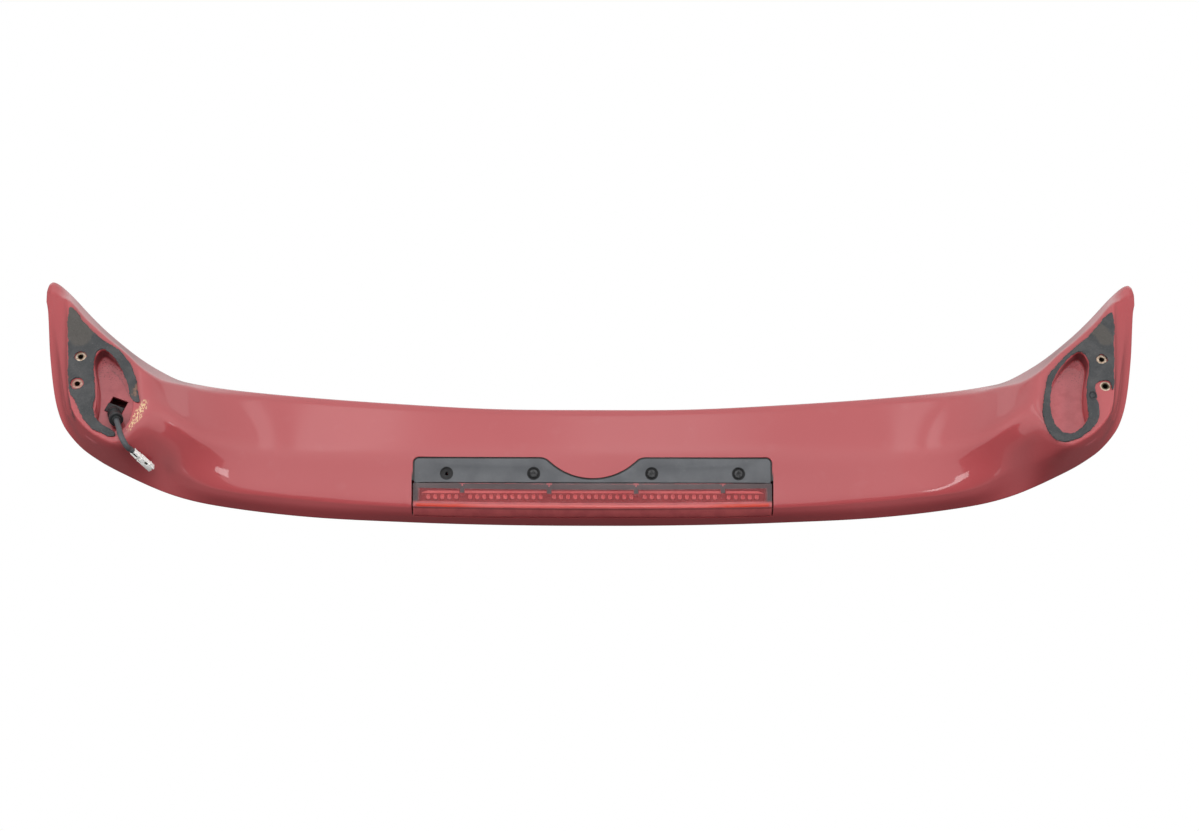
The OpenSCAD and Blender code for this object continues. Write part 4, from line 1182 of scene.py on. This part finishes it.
def lamp_cells():
    """Small cup for each lamp, its bright bead, and the light bars over each group."""
    parts = []
    for middle, count in CELL_GROUPS:
        for i in range(count):
            x = middle + (i - (count - 1) / 2) * CELL_PITCH
            parts.append(ring_part([oval(x - 0.3 * moved, CELL_ROW - 0.5 * moved, a, b, z)
                                    for a, b, moved, z in CUP]))
            parts.append(ring_part([oval(x + 0.9, CELL_ROW + 1.4, r, r, z, 10)
                                    for r, z in LAMP_BEAD]))
    for ends in BARS:
        parts.append(ring_part([bar_end(x, *BAR_SIDES) for x in ends]))
    for side in (1, -1):
        rows = [bar_end(side * x, *BAR_SIDES) for x in END_BARS]
        rows.append(bar_end(side * BAR_TIP, *TIP_SIDES))
        parts.append(ring_part(rows[::side]))
    ob = smooth_angle(moved_to_lamp(joined("lamp_cells_piece", parts)), 40)
    return finish_piece(ob, LOOKS["cell"], ("lamp_cells",))


# Connector boxes in the plug's frame: across from and to, up from and to, along from and to
PLUG_BODY = (-3.7, 3.7, -3.3, 3.3, 13, 35)
PLUG_NECK = (-3.0, 3.2, -3.0, 2.9, 0, 13.5)
PLUG_COLLAR = (-3.4, 3.5, -3.2, 3.1, 8.2, 10.6)
LATCH_ARM = (-4.6, -3.0, -1.9, 1.9, 11, 33)
LATCH_HOOK = (-5.6, -4.0, -1.9, 1.9, 27, 32, 1.4)
CABLE_SLOT = (-0.9, 0.9, 0.8, 4, -1, 9.0)
SIDE_NOTCH = (-3.3, -0.5, 0.6, 4, 20.0, 25.0)
END_OPENING = (-2.5, -0.4, 1.0, 4, 32.6, 36)
LATCH_GAP = (-3.6, -3.1, -2.0, 4, 15, 30)
KEY_GROOVE = (1.7, 2.4, 2.2, 4, 13, 18)


def plug_box(a0, a1, b0, b1, c0, c1, slope=0.0):
    """Box whose first side may draw in by a slope along its length."""
    rows = []
    for c, shift in ((c0, 0.0), (c1, slope)):
        rows.append([PLUG_FROM + a * PLUG_SIDE + b * PLUG_UP + c * PLUG_WAY
                     for a, b in ((a0 + shift, b0), (a1, b0), (a1, b1), (a0 + shift, b1))])
    return loft("part", rows)


def connector():
    """White two-way plug: neck, body, side latch with its hook, slots and the open end."""
    body = plug_box(*PLUG_BODY)
    boolean(body, [plug_box(*box) for box in (PLUG_NECK, LATCH_ARM, LATCH_HOOK, PLUG_COLLAR)],
            "UNION")
    boolean(body, [plug_box(*box) for box in (CABLE_SLOT, SIDE_NOTCH, END_OPENING, LATCH_GAP,
                                              KEY_GROOVE)])
    body.name = "connector_housing_piece"
    rounded(body, 0.35)
    return finish_piece(body, LOOKS["plug"], ("connector_housing",))


# Foam gaskets: outlines beside each insert, the torn places included
GASKET_RIGHT = [[19.8, 86.0], [12.6, 80.7], [2.3, 64.6], [-14.9, 46.6], [-29.5, 35.7],
                [-44.0, 25.9], [-55.5, 12.1], [-63.2, -1.6], [-67.4, -16.3], [-71.3, -33.7],
                [-74.5, -42.4], [-68.5, -44.4], [-61.5, -35.7], [-58.5, -22.1], [-52.6, -6.6],
                [-46.9, 5.2], [-38.2, 17.0], [-30.9, 24.5], [-23.8, 29.0], [-17.6, 24.8],
                [-15.2, 11.0], [-17.4, -6.7], [-20.6, -22.3], [-22.2, -35.8], [-21.2, -47.4],
                [-22.6, -58.9], [-28.7, -67.5], [-37.5, -74.2], [-48.1, -80.4], [-51.2, -86.5],
                [-44.1, -88.7], [-35.2, -83.7], [-25.0, -78.9], [-13.8, -67.5], [-5.7, -53.2],
                [0.5, -39.7], [6.2, -33.0], [9.7, -22.4], [12.6, 3.0], [17.2, 42.5],
                [21.3, 72.6]]
GASKET_LEFT = [[18.6, 84.0], [20.9, 76.0], [19.0, 56.0], [16.3, 42.0], [15.4, 28.1],
               [13.8, 12.5], [11.7, 0.5], [10.7, -13.2], [9.5, -22.5], [6.5, -24.5],
               [7.3, -17.0], [5.0, -11.5], [-1.0, -10.2], [-7.5, -12.6], [-12.5, -18.0],
               [-13.3, -26.9], [-12.8, -35.4], [-9.9, -42.1], [-11.1, -55.6], [-13.2, -64.0],
               [-18.4, -70.7], [-26.6, -79.0], [-36.1, -85.7], [-46.8, -90.6], [-55.7, -91.7],
               [-64.0, -88.9], [-69.9, -83.1], [-73.2, -74.1], [-76.0, -59.1], [-76.2, -52.4],
               [-72.6, -33.9], [-68.6, -16.9], [-64.2, -3.2], [-56.7, 5.4], [-46.5, 17.5],
               [-33.4, 29.6], [-20.1, 41.9], [-8.5, 52.4], [0.2, 62.9], [8.9, 73.5]]
GASKET_T = 2.0
# Radii of the foam's holes round the front and rear insert, and the curl of torn foam
FOAM_HOLES = {1: (6.4, 7.6), -1: (6.4, 6.7)}
CURL_HALF_X, CURL_HALF_Y, CURL_R = 3.8, 4.6, 1.6


# The same torn edges on every run
noise.seed_set(5)


def roughened(ob, wide, fine, lumps):
    """Uneven torn edges, a lumpy face and a thinner worn front part."""
    points = values_of(ob.data.vertices, "co")
    for p in points:
        a = noise.noise_vector(Vector(p) / (8 * MM))
        b = noise.noise_vector(Vector(p) / (2.2 * MM))
        worn = max(0.0, min(1.0, (p[1] / MM - 44 + 9 * a.x) / 1.5)) * 0.4
        face = max(0.0, min(1.0, -p[2] / MM - 0.6))
        p[0] += (a.x * wide + b.x * fine) * MM
        p[1] += (a.y * wide + b.y * fine) * MM
        p[2] += face * (lumps * (a.z + 0.6 * b.z) - worn) * MM
    return move_points(ob, points)


def torn_curl():
    turn = np.radians(np.linspace(60, 290, 12))
    around = on_circle(turn) * [CURL_HALF_X, CURL_HALF_Y]
    return loft("curl", tube_rows(at_height(CURL_AT + around, -GASKET_T), [CURL_R] * 12, 12))


def gasket(side):
    """Foam with its torn places; the right foot's inner line is drawn, the left's is cut."""
    name = "gasket_right" if side == 1 else "gasket_left"
    points = GASKET_RIGHT if side == 1 else GASKET_LEFT
    line = even(smoothed([[INSERT_X + x, y] for x, y in points], 0.40, 5), 1.5)
    foam = prism(line, -GASKET_T, 0.1, side)
    foam.name = name + "_piece"
    cutters = [cylinder(side * INSERT_X, y, r, -4, 1, 48)
               for y, r in zip(INSERT_YS, FOAM_HOLES[side])]
    if side == -1:
        cutters.append(prism(grown(pocket_line, 0.6), -4, 1, side))
    boolean(foam, cutters)
    if side == -1:
        boolean(foam, [torn_curl()], "UNION")
    mod = foam.modifiers.new("voxels", "REMESH")
    mod.mode = "VOXEL"
    mod.voxel_size = 0.75 * MM
    roughened(applied(foam), 0.9, 0.75, 0.45)
    smooth_angle(foam, 60)
    return finish_piece(foam, LOOKS["foam"], (name,))


cable, cable_route, cable_length = supply_cable()
plug = connector()
contacts = dressed("connector_contacts", LOOKS["contact"], 0.15)
[tuple(p * MM) for p in cable_route]


# Shell and the hard parts
spoiler_shell()
dressed("lamp_housing", LOOKS["plate"], 0.45)
dressed("cable_grommet", LOOKS["rubber"], 0.4)
for side in ("left", "right"):
    for end in ("front", "rear"):
        dressed("insert_%s_%s" % (end, side), LOOKS["brass"], 0.3)
for name in ("left_outer", "left_inner", "right_inner"):
    dressed("lamp_screw_" + name, LOOKS["steel"], 0.2)
lamp_lens()
lamp_cells()
dressed("lamp_carrier", LOOKS["carrier"], 0.3)
gasket(-1)
gasket(1)

# Materials of the CAD nodes that are carried over as they are
CARRIED = [("lamp_seal", "foam"), ("lamp_board", "board"), ("lamp_plug", "nylon"),
           ("inner_harness", "black"), ("harness_clip_outer", "nylon"),
           ("harness_clip_inner", "nylon")]
CARRIED += [("screw_nut_%s_%s" % (side, end), "black")
            for side in ("left", "right") for end in ("outer", "inner")]
for node, look in CARRIED:
    NODES[node].data.materials.clear()
    NODES[node].data.materials.append(LOOKS[look])


# Floor, world and lights; what follows is in metres
def studio_gloss(k):
    """What gloss sees on the floor: lit paper, softer lamps, the dark camera stand, one flash."""
    axes = k.node("ShaderNodeSeparateXYZ", {0: k.spot})
    x, y = axes.outputs["X"], axes.outputs["Y"]
    side = k.size(x)
    lamps = k.plus(k.window(x, 0.32, 0.50, 0.75, 1.1),
                   k.times(k.window(x, -0.56, -0.36, -0.12, 0.2), 0.85))
    paper = k.times(k.plus(1.2, k.times(k.window(y, -0.3, 0.9, 2.3, 3.0), lamps)),
                    k.step(side, 8.0, 3.5, 0.42, 1.0))
    off_stand = k.plus(side, k.times(k.plus(y, 2.4), 0.55))
    stand = k.times(k.step(y, -2.4, -2.75), k.step(off_stand, 0.85, 0.6))
    flash = k.times(k.window(x, -0.36, -0.34, -0.02, 0.0),
                    k.window(y, -2.95, -2.9, -2.15, -2.1))
    return k.plus(k.times(paper, k.step(stand, 0, 1, 1, 0.14)), k.times(flash, 5.0))


FLOOR_Z, FLOOR_REACH = -4300.0, 9000.0


def pale_floor():
    """White for the camera, the studio's reflections for gloss, a pale floor for the rest."""
    k = Look("floor_white", Roughness=0.9)
    path = k.node("ShaderNodeLightPath").outputs
    gloss = path["Is Glossy Ray"]
    seen = k.most(path["Is Camera Ray"], gloss, path["Is Transmission Ray"])
    glow = k.node("ShaderNodeEmission", {"Color": (1, 1, 1),
                                         "Strength": k.blend(gloss, 1.0, studio_gloss(k))})
    look = k.output(k.node("ShaderNodeMixShader", {0: seen, 1: k.shader.outputs[0],
                                                   2: glow.outputs[0]}))
    corners = np.array([(-1, -1), (1, -1), (1, 1), (-1, 1)]) * FLOOR_REACH
    floor = mesh_object("floor", at_height(corners, FLOOR_Z), [(0, 1, 2, 3)])
    floor.data.materials.append(look)


def lay_world():
    """White for the camera, a shaded ceiling for gloss, plain light for the rest."""
    scene.world = bpy.data.worlds.new("studio")
    scene.world.use_nodes = True
    k = Nodes(scene.world.node_tree)
    k.tree.nodes.clear()
    spot = k.node("ShaderNodeTexCoord").outputs["Generated"]
    axes = k.node("ShaderNodeSeparateXYZ", {0: spot}).outputs
    aside = k.step(axes["Z"], -0.1, 0.75, 0.42, 0.07)
    ahead = k.step(axes["Z"], 0.25, 0.75, 1.45, 0.45)
    gloss = k.blend(k.step(axes["Y"], 0.45, 0.8), aside, ahead)
    path = k.node("ShaderNodeLightPath").outputs
    white = k.most(path["Is Camera Ray"], path["Is Transmission Ray"])
    level = k.blend(white, k.blend(path["Is Glossy Ray"], 0.17, gloss), 1.0)
    back = k.node("ShaderNodeBackground", {"Color": (1, 1, 1), "Strength": level})
    k.node("ShaderNodeOutputWorld", {0: back.outputs[0]})


def area_light(name, place, target, size, level):
    """Level 1 lights a white surface that faces it at 1; gloss doesn't see the lamp."""
    way = Vector(target) - Vector(place)
    data = bpy.data.lights.new(name, "AREA")
    data.shape = "RECTANGLE"
    data.size, data.size_y = size
    data.energy = math.pi ** 2 * way.length ** 2 * level
    ob = add_object(name, data)
    ob.location = place
    ob.rotation_mode = "QUATERNION"
    ob.rotation_quaternion = way.to_track_quat("-Z", "Y")
    ob.visible_glossy = False


pale_floor()
lay_world()
area_light("key_below", (0, -0.2, -3.0), (0, -0.03, 0.04), (3.0, 1.6), 0.58)
area_light("fill_above", (0.4, 1.2, 2.8), (0, 0, 0.05), (2.6, 2.6), 0.4)
for side, name in ((1, "right"), (-1, "left")):
    area_light("side_" + name, (side * 2.6, -0.2, -1.2), (0, -0.03, 0.04), (1.6, 1.6), 0.50)
    area_light("foot_" + name, (side * 0.70, -0.60, -0.05), (side * 0.56, -0.09, 0.04),
               (0.35, 0.35), 0.13)

scene.view_settings.view_transform = "Standard"
